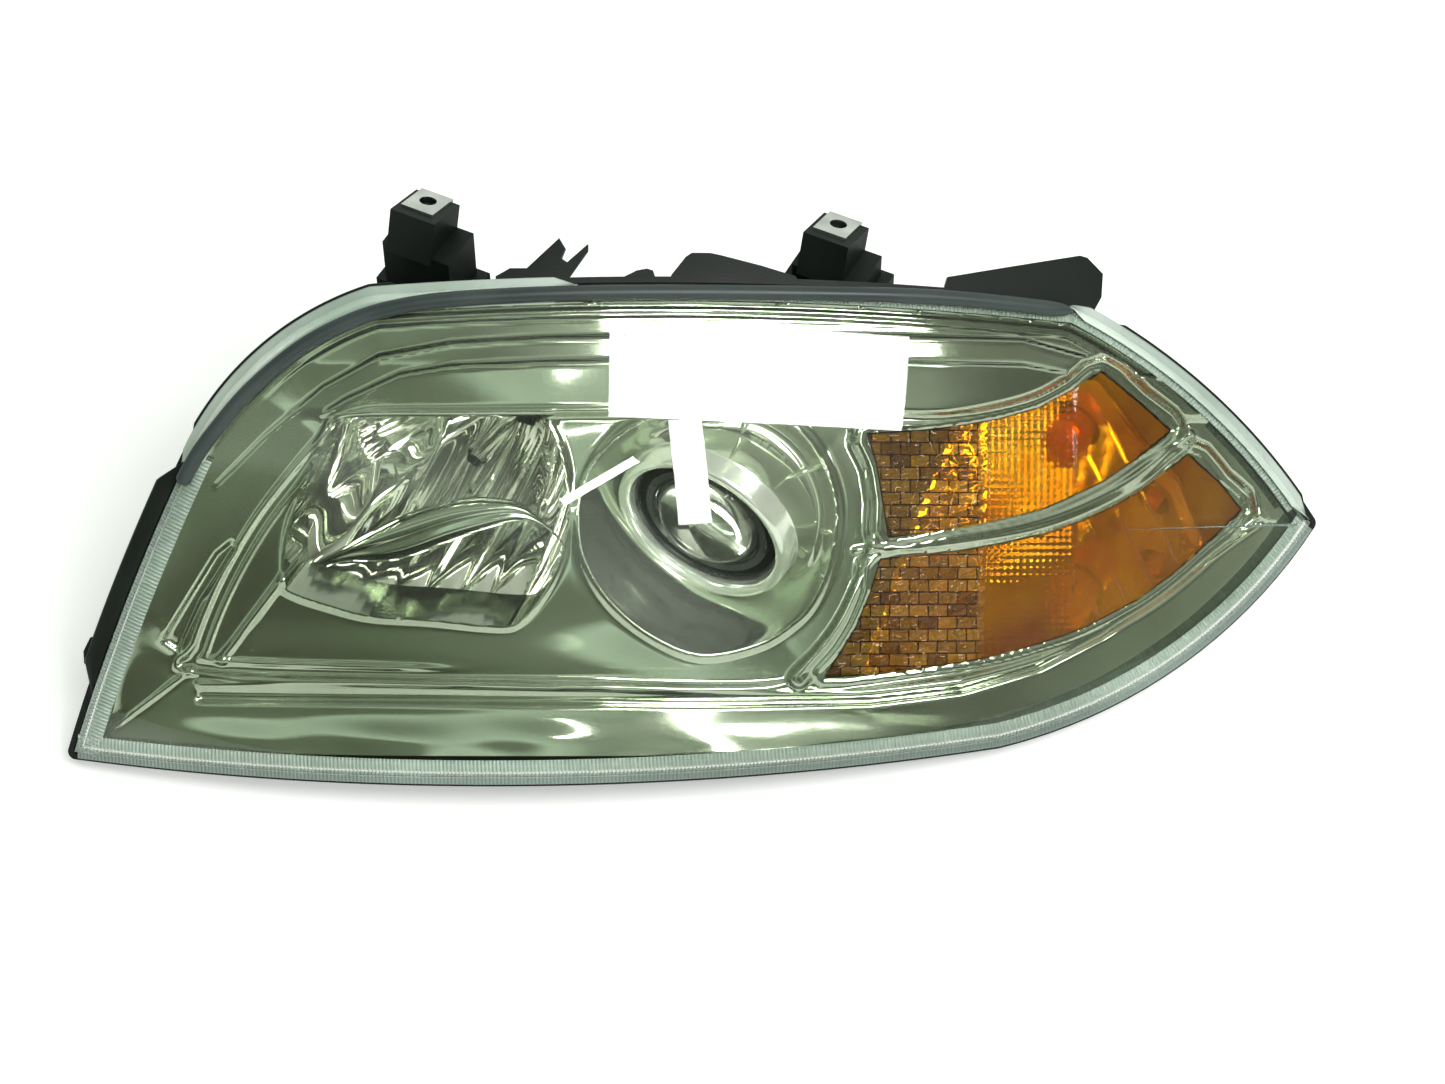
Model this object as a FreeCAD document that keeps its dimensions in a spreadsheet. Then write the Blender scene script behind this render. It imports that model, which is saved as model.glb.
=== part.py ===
# Left-hand headlight assembly of a sport utility vehicle, as a parametric document.
# X points outboard, Y rearward (the lamp shines along -Y) and Z up. The row origin is the centre
# of the lamp's footprint, on the surface that it stands on.
import FreeCAD, Part
import math
import os
import re
import Sketcher

Vector = FreeCAD.Vector
doc = FreeCAD.newDocument("Headlight")
sheet = doc.addObject("Spreadsheet::Sheet", "Dims")

SIZES = {
    # where the modelling frame lies in the row frame
    "row_x": 27.6, "row_y": -37.3, "row_z": 148.6,
    # the lens faces this way: turned outboard about Z, then leaned back
    "face_turn": 26.7, "face_lean": 50.0,
    # lens surface: a barrel, its long radius across the lens and its short radius up it
    "barrel_u": -90.0, "barrel_v": 60.0, "barrel_long": 700.0, "barrel_short": 450.0,
    # lens
    "lens_wall": 3.0, "skirt_depth": 14.0,
    # housing rim: a groove that takes the lens skirt and the sealant
    "groove_gap": 1.0, "rim_wall": 3.0, "groove_top": 7.0, "groove_floor": 16.0,
    # housing body
    "wall": 3.0, "tray_depth": 24.0, "inner_back": 108.0, "middle_back": 165.0, "outer_back": 232.0,
    "middle_left": -95.0, "outer_left": 60.0, "chamber_gap": 1.0, "floor_low": 112.0,
    "flare": 0.0006,
    # bezel
    "bezel_gap": 1.0, "bezel_top": 12.0, "bezel_wall": 2.5,
    # rubber seal on the lens's top edge
    "seal_wide": 7.0, "seal_high": 6.0, "seal_inset": 1.5,
    # low-beam projector, on an axis along Y
    "low_x": -29.5, "low_z": -42.4, "shroud_face": 34.6, "shroud_front": 46.6, "shroud_bore": 40.7,
    "shroud_back": 54.4, "bevel_deep": 4.4, "cone_deep": 14.4, "shroud_deep": 17.9,
    "pocket_bore": 58.5, "pocket_hole": 52.0,
    "glass_radius": 30.0, "glass_dome": 16.0, "glass_rim": 2.5, "holder_ledge": 44.0,
    "holder_radius": 34.0, "holder_bore": 27.0, "holder_front": 40.0, "holder_back": 70.0,
    "shield_plate": 1.5, "bowl_flange": 45.0, "bowl_flange_deep": 4.5, "bowl_radius": 40.0,
    "bowl_shell": 2.7, "bowl_long": 44.0, "neck_radius": 22.0, "neck_bore": 13.0,
    "capsule_radius": 4.5, "capsule_long": 35.0, "base_flange": 17.0, "base_flange_deep": 3.0,
    "base_radius": 15.0, "base_long": 16.0, "barrel_radius": 12.5, "barrel_deep": 6.5,
    "retainer_gap": 0.2, "retainer_deep": 2.5, "igniter_side": 44.0, "igniter_long": 20.0,
    # high-beam reflector, on an axis along Y
    "high_x": -151.5, "high_z": -38.0, "mirror_wide": 113.0, "mirror_high": 92.0, "mirror_round": 24.0,
    "mirror_depth": 38.0, "mirror_apex": 68.0, "mirror_focus": 25.0, "mirror_shell": 2.5,
    "mirror_neck": 16.0, "high_bore": 12.0, "mirror_gap": 6.0,
    "high_flange": 15.8, "high_flange_deep": 4.0, "high_barrel": 11.9, "high_base_long": 16.0,
    "high_base_side": 20.0, "high_glass": 6.0, "high_glass_long": 40.0,
    "visor_wide": 20.0, "visor_high": 12.0, "visor_front": -24.0, "visor_sheet": 2.0,
    # aim frame: a plate that carries both optics and tilts on two pins along X
    "plate_front": 76.0, "plate_thick": 4.0, "hub_radius": 48.0, "hub_bore": 41.0,
    "plate_left": -196.0, "plate_right": -40.0, "plate_low": -84.0, "plate_high": -14.0,
    "pivot_y": 88.0, "pivot_z": -20.0, "pin_radius": 3.0, "pin_gap": 0.05, "pin_long": 14.0,
    "ear_thick": 6.0, "ear_half": 8.0, "ear_left": -112.0, "ear_right": 12.0,
    "arm_gap": 2.0, "arm_thick": 4.0, "arm_half": 6.0, "arm_front": 82.0,
    "screw_x": -110.0, "screw_z": -90.0, "screw_radius": 3.0, "screw_front": 64.0, "nut_radius": 7.0,
    "nut_bore": 4.0, "nut_front": 70.0, "nut_long": 14.0, "pad_half": 15.0, "pad_low": -101.0,
    "screw_boss": 8.0, "boss_long": 11.8, "knob_radius": 9.0, "knob_long": 8.0, "collar_radius": 5.0,
    "collar_long": 3.0, "end_play": 0.2,
    # access caps behind the two bulbs
    "cap_gap": 0.1, "cap_wall": 3.0, "cap_deep": 12.0, "gasket": 2.0, "low_port": 36.0,
    "high_port": 26.0, "port_wall": 6.0, "port_long": 12.0, "high_port_long": 10.0,
    "grip_high": 9.0, "grip_wide": 10.0,
    # amber windows and what lies behind them
    "amber_thick": 3.5, "amber_seat": 4.0, "turn_back": 190.0, "turn_shell": 2.5, "turn_left": 66.0,
    "turn_x": 104.0, "turn_z": -48.0, "turn_port": 17.0, "turn_hole": 14.0, "turn_glass": 12.0,
    "turn_glass_long": 34.0, "turn_socket_long": 36.0, "turn_flange": 22.0, "turn_flange_deep": 5.0,
    "marker_x": 150.0, "marker_z": -82.0, "marker_port": 10.0, "marker_glass": 5.0,
    "marker_glass_long": 20.0, "marker_socket_long": 30.0, "marker_flange": 14.0, "socket_gap": 0.1,
    "marker_flange_deep": 5.0, "ring_deep": 1.5,
    # ballast under the housing
    "ballast_wide": 120.0, "ballast_front": 85.0, "ballast_long": 90.0, "ballast_high": 34.6,
    "ballast_pad": 2.0, "ballast_ear": 12.0, "ballast_ear_thick": 4.0, "ballast_round": 4.0,
    "small_screw": 2.0, "small_head": 3.6, "small_head_deep": 2.4, "screw_gap": 0.2,
    # clip nuts on the two upper tabs
    "tab_lean": -18.0, "tab_thick": 4.0, "tab_wide": 25.0, "tab_long": 26.0, "tab_aside": 1.0,
    "tab_ahead": 4.4, "tab_block": 24.0, "ledge_low": 14.5, "ledge_left": 15.0, "ledge_right": 23.0,
    "ledge_front": 21.5, "ledge_long": 25.5, "clip_room": 15.0, "screw_room": 45.0,
    "inboard_x": -203.0, "inboard_y": 76.6, "inboard_z": 72.8, "inboard_root": 78.0,
    "outboard_x": -19.7, "outboard_y": 168.3, "outboard_z": 57.1, "outboard_root": 50.0,
    "clip_wide": 18.0, "clip_long": 20.0, "clip_sheet": 1.2, "clip_bore": 3.4, "tab_bore": 4.9,
    "nut_barrel": 5.5, "nut_barrel_long": 5.0,
    # lower bracket, connector and vent
    "bracket_x": -200.0, "bracket_wide": 28.0, "bracket_long": 30.0, "bracket_thick": 6.0,
    "bush_bore": 4.25, "bush_radius": 6.0,
    "plug_x": 90.0, "plug_z": -92.0, "plug_wide": 30.0, "plug_high": 20.0, "plug_long": 20.0,
    "plug_wall": 2.0, "plug_back": 4.0,
    "vent_x": -228.0, "vent_z": -82.0, "vent_radius": 5.0, "vent_long": 8.0, "vent_cap": 8.0,
}
for line, (alias, size) in enumerate(SIZES.items(), 1):
    sheet.set("A%d" % line, alias)
    sheet.set("B%d" % line, str(size))
    sheet.setAlias("B%d" % line, alias)
doc.recompute()


def bind(text):
    """A formula over the sheet's sizes, written with their bare names."""
    return re.sub(r"\b([a-z][a-z_]*)\b", r"Dims.\1", text)


def val(text):
    return float(sheet.evalExpression(bind(text)))


nodes = []


def node(obj, label):
    obj.Label = label
    nodes.append(obj)
    return obj


def place(obj, x, y, z):
    for key, text in (("x", x), ("y", y), ("z", z)):
        obj.setExpression("Placement.Base." + key, bind("row_%s + (%s)" % (key, text)))


def box(x, y, z, long_x, long_y, long_z):
    solid = doc.addObject("Part::Box", "Block")
    solid.setExpression("Length", bind(long_x))
    solid.setExpression("Width", bind(long_y))
    solid.setExpression("Height", bind(long_z))
    place(solid, x, y, z)
    return solid


def rod(x, y, z, radius, length, axis="y"):
    solid = doc.addObject("Part::Cylinder", "Rod")
    turn = {"x": (Vector(0, 1, 0), 90), "y": (Vector(1, 0, 0), -90), "z": (Vector(0, 0, 1), 0)}
    solid.Placement = FreeCAD.Placement(Vector(), FreeCAD.Rotation(*turn[axis]))
    solid.setExpression("Radius", bind(radius))
    solid.setExpression("Height", bind(length))
    place(solid, x, y, z)
    return solid


def cut(solid, *tools):
    for tool in tools:
        left = doc.addObject("Part::Cut", "Cut")
        left.Base = solid
        left.Tool = tool
        solid = left
    return solid


def fuse(*solids):
    whole = doc.addObject("Part::MultiFuse", "Fuse")
    whole.Shapes = list(solids)
    whole.Refine = True
    return whole


def turned(label, x, y, z, profile):
    """A body of revolution about an axis along Y. The profile is (radius, distance along Y)."""
    body = doc.addObject("PartDesign::Body", "Turned")
    plane = [item for item in body.Origin.OriginFeatures if item.Role == "XY_Plane"][0]
    sketch = body.newObject("Sketcher::SketchObject", "Profile")
    sketch.AttachmentSupport = (plane, [""])
    sketch.MapMode = "FlatFace"
    spots = [Vector(val(radius), val(along), 0) for radius, along in profile]
    for index, spot in enumerate(spots):
        sketch.addGeometry(Part.LineSegment(spot, spots[(index + 1) % len(spots)]))
    for index in range(len(spots)):
        sketch.addConstraint(Sketcher.Constraint("Coincident", index, 2, (index + 1) % len(spots), 1))
    for index, (radius, along) in enumerate(profile):
        for kind, text, zero_axis in (("DistanceX", radius, -2), ("DistanceY", along, -1)):
            size = val(text)
            if abs(size) < 1e-9:
                sketch.addConstraint(Sketcher.Constraint("PointOnObject", index, 1, zero_axis))
                continue
            rule = sketch.addConstraint(Sketcher.Constraint(kind, -1, 1, index, 1, size))
            sketch.setExpression("Constraints[%d]" % rule, bind(text))
    turn = body.newObject("PartDesign::Revolution", "Turn")
    turn.Profile = sketch
    turn.ReferenceAxis = (sketch, ["V_Axis"])
    turn.Angle = 360
    place(body, x, y, z)
    return node(body, label) if label else body


def feature(shape, label):
    """A piece whose shape is made in the modelling frame, then put in the row frame."""
    solid = doc.addObject("Part::Feature", "Piece")
    solid.Shape = shape
    solid.Placement.Base = Vector(val("row_x"), val("row_y"), val("row_z"))
    return node(solid, label)


# ---- The lens face: u runs across the lens, v up it and w out of it -------------------------
face_turn = math.radians(val("face_turn"))
face_lean = math.radians(val("face_lean"))
AXIS_U = Vector(math.cos(face_turn), math.sin(face_turn), 0)
AXIS_W = Vector(math.sin(face_turn) * math.cos(face_lean), -math.cos(face_turn) * math.cos(face_lean),
                math.sin(face_lean))
AXIS_V = AXIS_W.cross(AXIS_U)
FACE = FreeCAD.Placement(Vector(), FreeCAD.Rotation(AXIS_U, AXIS_V, AXIS_W, "XYZ"))
REACH = 260.0    # further than any piece reaches from the lens's middle, along v and w
SWEEP = 90.0     # angle of the barrel that is made, centred on the lens

# Lens outline: six arcs from the low inboard corner, up over the top, out to the tip and back
OUTLINE = [
    ((-330, -107), (-288, -9), (-262, 45)),
    ((-262, 45), (-221, 95), (-172, 121)),
    ((-172, 121), (0, 126), (177, 118)),
    ((177, 118), (243, 77), (308, 10)),
    ((308, 10), (246, -53), (140, -101)),
    ((140, -101), (-60, -117), (-330, -107)),
]


def face_point(spot, w=0.0):
    return Vector(spot[0], spot[1], w)


def column(wire, low=-REACH, high=REACH):
    """A wire of the face plane run along w."""
    moved = wire.copy()
    moved.translate(Vector(0, 0, low))
    return Part.Face(moved).extrude(Vector(0, 0, high - low))


def outline_wire(grow):
    wire = Part.Wire([Part.Arc(*[face_point(spot) for spot in arc]).toShape() for arc in OUTLINE])
    return wire.makeOffset2D(grow) if grow else wire


def outline(grow):
    return column(outline_wire(grow))


def shadow(grow):
    """What lies behind the lens, with a slight flare: the body drops into the car from the front."""
    ends = []
    for w in (REACH / 4, -REACH):
        end = outline_wire(grow)
        end.scale(1 - w * val("flare"))
        end.translate(Vector(0, 0, w))
        ends.append(end)
    return Part.makeLoft(ends, True, True)


def polygon(spots):
    return Part.makePolygon([face_point(spot) for spot in spots + spots[:1]])


domes = {}


def dome(depth):
    """Everything that lies deeper than this behind the lens's outer surface."""
    if depth not in domes:
        mid_v, short = val("barrel_v"), val("barrel_short")
        radius = short - depth
        low_v, high_v = mid_v - REACH, mid_v + REACH * 0.7
        rise = [Vector(0, v, -short + math.sqrt(radius ** 2 - (v - mid_v) ** 2)) for v in (low_v, high_v)]
        top = Vector(0, mid_v, -short + radius)
        floor = [Vector(0, high_v, -2 * REACH), Vector(0, low_v, -2 * REACH)]
        edges = [Part.Arc(rise[0], top, rise[1]).toShape(), Part.makeLine(rise[1], floor[0]),
                 Part.makeLine(floor[0], floor[1]), Part.makeLine(floor[1], rise[0])]
        section = Part.Face(Part.Wire(edges))
        section.translate(Vector(val("barrel_u"), 0, 0))
        pole = Vector(val("barrel_u"), 0, -val("barrel_long"))
        section.rotate(pole, Vector(0, 1, 0), -SWEEP / 2)
        domes[depth] = section.revolve(pole, Vector(0, 1, 0), SWEEP)
    return domes[depth]


def layer(solid, top, bottom):
    """The part of a face-plane column that lies between two depths."""
    return solid.common(dome(top)).cut(dome(bottom))


def ahead(shape):
    """Out of the face frame into the modelling frame."""
    turned_shape = shape.copy()
    turned_shape.Placement = FACE.multiply(turned_shape.Placement)
    return turned_shape


def behind(depth):
    return ahead(dome(depth))


# ---- Solids along Y, given by their outline seen from the front ------------------------------
def along_y(wire, front, back):
    moved = wire.copy()
    moved.translate(Vector(0, front, 0))
    return Part.Face(moved).extrude(Vector(0, back - front, 0))


def front_polygon(spots):
    return Part.makePolygon([Vector(x, 0, z) for x, z in spots + spots[:1]])


def brick(x0, x1, y0, y1, z0, z1):
    return Part.makeBox(x1 - x0, y1 - y0, z1 - z0, Vector(x0, y0, z0))


def disc(x, y, z, radius, length, axis=Vector(0, 1, 0)):
    return Part.makeCylinder(radius, length, Vector(x, y, z), axis)


FRONT = -REACH
wall = val("wall")
lens_wall = val("lens_wall")
low_x, low_z = val("low_x"), val("low_z")
high_x, high_z = val("high_x"), val("high_z")
floor_low = -val("floor_low")

# ---- Outer lens, its sealant and the rubber seal along its top edge --------------------------
skirt = val("skirt_depth")
lens = layer(outline(0), 0.0, skirt).cut(outline(-lens_wall).common(dome(lens_wall)))
feature(ahead(lens), "outer_lens")

groove_out = outline(val("groove_gap"))
groove_in = outline(-lens_wall - val("groove_gap"))
groove = layer(groove_out, val("groove_top") - 1, val("groove_floor")).cut(groove_in)
bead = layer(groove_out, val("skirt_depth - 3"), val("groove_floor")).cut(groove_in)
feature(ahead(bead.cut(lens)), "lens_sealant")

SEAL_REACH = [(-300, 31), (-230, 31), (-150, 80), (173, 90), (173, 160), (-300, 160)]
seal_out = outline(-val("seal_inset"))
seal_in = outline(-val("seal_inset + seal_wide"))
seal = layer(seal_out, -val("seal_high"), 0.0).cut(seal_in).common(column(polygon(SEAL_REACH)))
feature(ahead(seal), "top_seal")

# ---- Housing: rim, shallow tray and three stepped chambers, with its ports and tabs ------------
rim_out = outline(val("groove_gap + rim_wall"))
tray_out_grow = -lens_wall - val("groove_gap")
tray_in_grow = tray_out_grow - val("rim_wall")
tray_depth = val("tray_depth")
rim = layer(rim_out, val("groove_top"), val("groove_floor + rim_wall")).cut(outline(tray_in_grow))
tray = layer(outline(tray_out_grow), val("groove_floor"), tray_depth + wall)
tray_room = layer(outline(tray_in_grow), val("groove_top"), tray_depth)

# Chambers seen from the front: one outline, cut into three of different depths
CHAMBERS = front_polygon([(-262, floor_low), (-255, -20), (-235, 25), (-195, 48), (-55, 48), (55, 26),
                          (120, -10), (170, -60), (198, -100), (185, floor_low)])
CHAMBER_ROOM = CHAMBERS.makeOffset2D(-wall)
middle_left, outer_left = val("middle_left"), val("outer_left")
inner_back, middle_back, outer_back = val("inner_back"), val("middle_back"), val("outer_back")


def chamber(wire, left, right, back):
    return along_y(wire, FRONT, back).common(brick(left, right, FRONT, back, -REACH, REACH))


shells = [chamber(CHAMBERS, -REACH * 2, middle_left + wall, inner_back),
          chamber(CHAMBERS, middle_left, outer_left + wall, middle_back),
          chamber(CHAMBERS, outer_left, REACH * 2, outer_back)]
rooms = [chamber(CHAMBER_ROOM, -REACH * 2, middle_left + wall * 2, inner_back - wall),
         chamber(CHAMBER_ROOM, middle_left + wall, outer_left + wall * 2, middle_back - wall),
         chamber(CHAMBER_ROOM, outer_left + wall, REACH * 2, outer_back - wall)]
shell = shells[0].multiFuse(shells[1:]).common(behind(tray_depth + 0.5)).common(ahead(shadow(tray_out_grow)))
room = rooms[0].multiFuse(rooms[1:]).common(ahead(shadow(tray_in_grow)))
room_deep = room.common(behind(tray_depth + wall))
room_front = room.common(behind(tray_depth - 1)).common(ahead(outline(tray_in_grow)))

# Wings and hooks along the top edge, outside the lens
WINGS = [
    [(106, 112), (184, 110), (192, 124), (193, 136), (185, 144), (181, 145), (112, 132)],
    [(-30, 118), (42, 118), (36, 131), (19, 136), (-1, 141), (-6, 142), (-15, 142), (-18, 140), (-25, 131)],
    [(-101, 118), (-75, 118), (-75, 130), (-66, 143), (-66, 146), (-76, 137), (-79, 139), (-77, 144),
     (-80, 149), (-101, 129)],
    [(-111, 118), (-89, 118), (-89, 130), (-96, 134), (-104, 134), (-111, 130)],
    [(-48, 118), (-33, 118), (-33, 130), (-34, 133), (-37, 134), (-42, 133), (-48, 130)],
    [(-318, -66), (-306, -66), (-306, -45), (-311, -46), (-318, -48), (-322, -55), (-322, -61)],
]
wings = [layer(column(polygon(spots)), val("groove_top + 1"), val("groove_floor + 1")) for spots in WINGS]

low_port, high_port = val("low_port"), val("high_port")
port_wall = val("port_wall")
collars = [disc(low_x, middle_back - wall, low_z, low_port + port_wall, val("port_long + wall")),
           disc(high_x, inner_back - wall, high_z, high_port + port_wall, val("high_port_long + wall"))]
turn_x, turn_z = val("turn_x"), val("turn_z")
marker_x, marker_z = val("marker_x"), val("marker_z")
ports = [disc(low_x, middle_back - 2 * wall, low_z, low_port, val("port_long") + 3 * wall),
         disc(high_x, inner_back - 2 * wall, high_z, high_port, val("high_port_long") + 3 * wall),
         disc(turn_x, outer_back - 2 * wall, turn_z, val("turn_port"), 3 * wall),
         disc(marker_x, outer_back - 2 * wall, marker_z, val("marker_port"), 3 * wall)]

# Arms that hold the tilt pins, and the boss that holds the aiming screw
pivot_y, pivot_z = val("pivot_y"), val("pivot_z")
arm_thick, arm_half = val("arm_thick"), val("arm_half")
inboard_arm = val("ear_left - arm_gap") - arm_thick
outboard_arm = val("ear_right + ear_thick + arm_gap")
arms = [brick(x, x + arm_thick, val("arm_front"), back - wall / 2, pivot_z - arm_half, pivot_z + arm_half)
        for x, back in ((inboard_arm, inner_back), (outboard_arm, middle_back))]
pin_bores = [disc(x - 1, pivot_y, pivot_z, val("pin_radius"), arm_thick + 2, Vector(1, 0, 0))
             for x in (inboard_arm, outboard_arm)]
screw_x, screw_z = val("screw_x"), val("screw_z")
screw_boss = disc(screw_x, inner_back - wall, screw_z, val("screw_boss"), val("boss_long") + wall)
screw_bore = disc(screw_x, inner_back - 2 * wall, screw_z, val("screw_radius + pin_gap"),
                  val("boss_long") + 3 * wall)


def tab_frame(name):
    lean = FreeCAD.Rotation(Vector(1, 0, 0), val("tab_lean"))
    return FreeCAD.Placement(Vector(val(name + "_x"), val(name + "_y"), val(name + "_z")), lean)


def tab(name):
    """A leaning block, hollow for its clip nut, on a wider ledge that runs down into the housing."""
    wide, long_y, thick = val("tab_wide"), val("tab_long"), val("tab_thick")
    aside, clip_side = val("tab_aside"), val("clip_wide") / 2 + 0.6
    front, back = -val("tab_ahead") - long_y / 2, long_y / 2 - val("tab_ahead")
    block = brick(aside - wide / 2, aside + wide / 2, front, back, -val("tab_block"), 0)
    pocket = brick(-clip_side, clip_side, back - val("clip_long") - 1, back + 5, -val("clip_room"), -thick)
    left, right, root_low = -val("ledge_left"), val("ledge_right"), -val(name + "_root")
    ledge_front, ledge_back = -val("ledge_front"), val("ledge_long - ledge_front")
    ledge = brick(left, right, ledge_front, ledge_back, root_low, -val("ledge_low"))
    foot = brick(left - 6, right + 6, ledge_front, ledge_back + 3, root_low, root_low * 0.55)
    lean = tab_frame(name)
    stand = FreeCAD.Placement(lean.Base, FreeCAD.Rotation())
    bore = disc(0, 0, -val("screw_room"), val("tab_bore"), val("screw_room") + thick, Vector(0, 0, 1))
    for solid, where in ((block, lean), (pocket, lean), (bore, lean), (ledge, stand), (foot, stand)):
        solid.Placement = where.multiply(solid.Placement)
    return block.multiFuse([ledge, foot]), pocket.fuse(bore)


tabs = [tab("inboard"), tab("outboard")]

bracket_x, bracket_half = val("bracket_x"), val("bracket_wide") / 2
bracket_y = inner_back + val("bracket_long") / 2
bracket = brick(bracket_x - bracket_half, bracket_x + bracket_half, inner_back - wall / 2,
                inner_back + val("bracket_long"), floor_low, floor_low + val("bracket_thick"))
bush_seat = disc(bracket_x, bracket_y, floor_low - wall, val("bush_radius"), val("bracket_thick") + 2 * wall,
                 Vector(0, 0, 1))
vent_spigot = disc(val("vent_x"), inner_back - wall / 2, val("vent_z"), val("vent_radius"),
                   val("vent_long") + wall / 2)
vent_bore = disc(val("vent_x"), inner_back - 2 * wall, val("vent_z"), val("vent_radius") / 2,
                 val("vent_long") + 3 * wall)

ballast_wide, ballast_front = val("ballast_wide"), val("ballast_front")
ballast_long, ballast_ear = val("ballast_long"), val("ballast_ear")
ballast_top = floor_low - val("ballast_pad")
BALLAST_SCREWS = [(low_x + side * (ballast_wide + ballast_ear) / 2, ballast_front + share * ballast_long)
                  for side in (-1, 1) for share in (0.25, 0.75)]
screw_pads = [disc(x, y, ballast_top, ballast_ear / 2, val("ballast_pad") + wall / 2, Vector(0, 0, 1))
              for x, y in BALLAST_SCREWS]
screw_holes = [disc(x, y, ballast_top - 1, val("small_screw"), 3 * wall, Vector(0, 0, 1))
               for x, y in BALLAST_SCREWS]

# Three screws clamp the bezel's floor to the tray, outside the chambers
BEZEL_SCREWS = [(-306, -92), (284, 8), (58, -96)]


def face_bore(spot, radius):
    return column(Part.Wire(Part.makeCircle(radius, face_point(spot))))


housing = ahead(rim.multiFuse([tray] + wings)).multiFuse(
    [shell] + collars + [screw_boss, bracket, vent_spigot] + screw_pads + [pair[0] for pair in tabs])
housing = housing.cut(ahead(tray_room)).cut(room_deep).cut(room_front).cut(ahead(groove))
housing = housing.multiFuse(arms)
housing = housing.cut(Part.makeCompound(
    ports + pin_bores + [screw_bore, bush_seat, vent_bore] + screw_holes + [pair[1] for pair in tabs]))
housing = housing.cut(ahead(Part.makeCompound([face_bore(spot, val("small_screw"))
                                               for spot in BEZEL_SCREWS])))
feature(housing.removeSplitter(), "housing")

# ---- Bezel: a dished frame with openings for both beams and the amber windows -------------------
bezel_top, bezel_wall = val("bezel_top"), val("bezel_wall")
bezel_grow = tray_in_grow - val("bezel_gap")
AMBER_UPPER = [(74, 53), (139, 63), (191, 84), (235, 57), (164, 18), (80, 0)]
AMBER_LOWER = [(74, -14), (164, 4), (240, 44), (262, 17), (204, -34), (141, -56), (52, -66)]
mirror_gap = val("mirror_gap")
mirror_half, mirror_tall = val("mirror_wide") / 2, val("mirror_high") / 2


def round_rect(grow):
    """The high-beam mirror's outline seen from the front, grown by this much."""
    half_x, half_z = mirror_half + grow, mirror_tall + grow
    wire = front_polygon([(high_x - half_x, high_z - half_z), (high_x + half_x, high_z - half_z),
                          (high_x + half_x, high_z + half_z), (high_x - half_x, high_z + half_z)])
    radius = val("mirror_round")
    return wire.makeOffset2D(-radius).makeOffset2D(radius)


frame_shell = layer(outline(bezel_grow), bezel_top, tray_depth).cut(
    layer(outline(bezel_grow - bezel_wall), bezel_top - 1, tray_depth - bezel_wall))
pocket_bore, pocket_out = val("pocket_bore"), val("pocket_bore + bezel_wall")
shroud_seat = val("shroud_face + shroud_deep")
pocket = disc(low_x, FRONT, low_z, pocket_out, shroud_seat + bezel_wall - FRONT).common(behind(18.0))
bezel = ahead(frame_shell).fuse(pocket)
bezel = bezel.cut(disc(low_x, FRONT, low_z, pocket_bore, shroud_seat - FRONT))
bezel = bezel.cut(disc(low_x, FRONT, low_z, val("pocket_hole"), REACH - FRONT))
high_window = along_y(round_rect(mirror_gap), FRONT, REACH).common(
    brick(-REACH * 2, low_x - pocket_out - 0.5, FRONT, REACH, -REACH, REACH))
bezel = bezel.cut(high_window)
for spots in (AMBER_UPPER, AMBER_LOWER):
    seat = polygon(spots).makeOffset2D(-val("amber_seat"))
    bezel = bezel.cut(ahead(layer(column(seat), tray_depth - bezel_wall - 1, tray_depth + 1)))
bezel = bezel.cut(ahead(Part.makeCompound([face_bore(spot, val("small_screw")) for spot in BEZEL_SCREWS])))
feature(bezel.removeSplitter(), "bezel")

screws = []
for spot in BEZEL_SCREWS:
    seat_depth = tray_depth - bezel_wall
    head = layer(face_bore(spot, val("small_head")), seat_depth - val("small_head_deep"), seat_depth)
    screws.append(head.fuse(layer(face_bore(spot, val("small_screw")), seat_depth, tray_depth + wall)))
feature(ahead(Part.makeCompound(screws)), "bezel_screws")

# ---- Amber windows, resting on the bezel's floor, and the reflector behind them -----------------
amber_back = tray_depth - bezel_wall
for label, spots in (("amber_lens_upper", AMBER_UPPER), ("amber_lens_lower", AMBER_LOWER)):
    pane = layer(column(polygon(spots)), amber_back - val("amber_thick"), amber_back)
    feature(ahead(pane), label)

turn_wire = CHAMBERS.makeOffset2D(-wall - val("chamber_gap"))
turn_inner = turn_wire.makeOffset2D(-val("turn_shell"))
turn_left, turn_shell, turn_back = val("turn_left"), val("turn_shell"), val("turn_back")
turn_grow = tray_in_grow - val("chamber_gap")
reflector = chamber(turn_wire, turn_left, REACH * 2, turn_back).common(behind(tray_depth))
reflector = reflector.common(ahead(shadow(turn_grow)))
hollow = chamber(turn_inner, turn_left + turn_shell, REACH * 2, turn_back - turn_shell)
reflector = reflector.cut(hollow.common(ahead(shadow(turn_grow - turn_shell))))
reflector = reflector.cut(disc(turn_x, turn_back - 9, turn_z, val("turn_hole"), 18))
reflector = reflector.cut(disc(marker_x, turn_back - 9, marker_z, val("marker_port"), 18))
feature(reflector, "turn_reflector")

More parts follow.
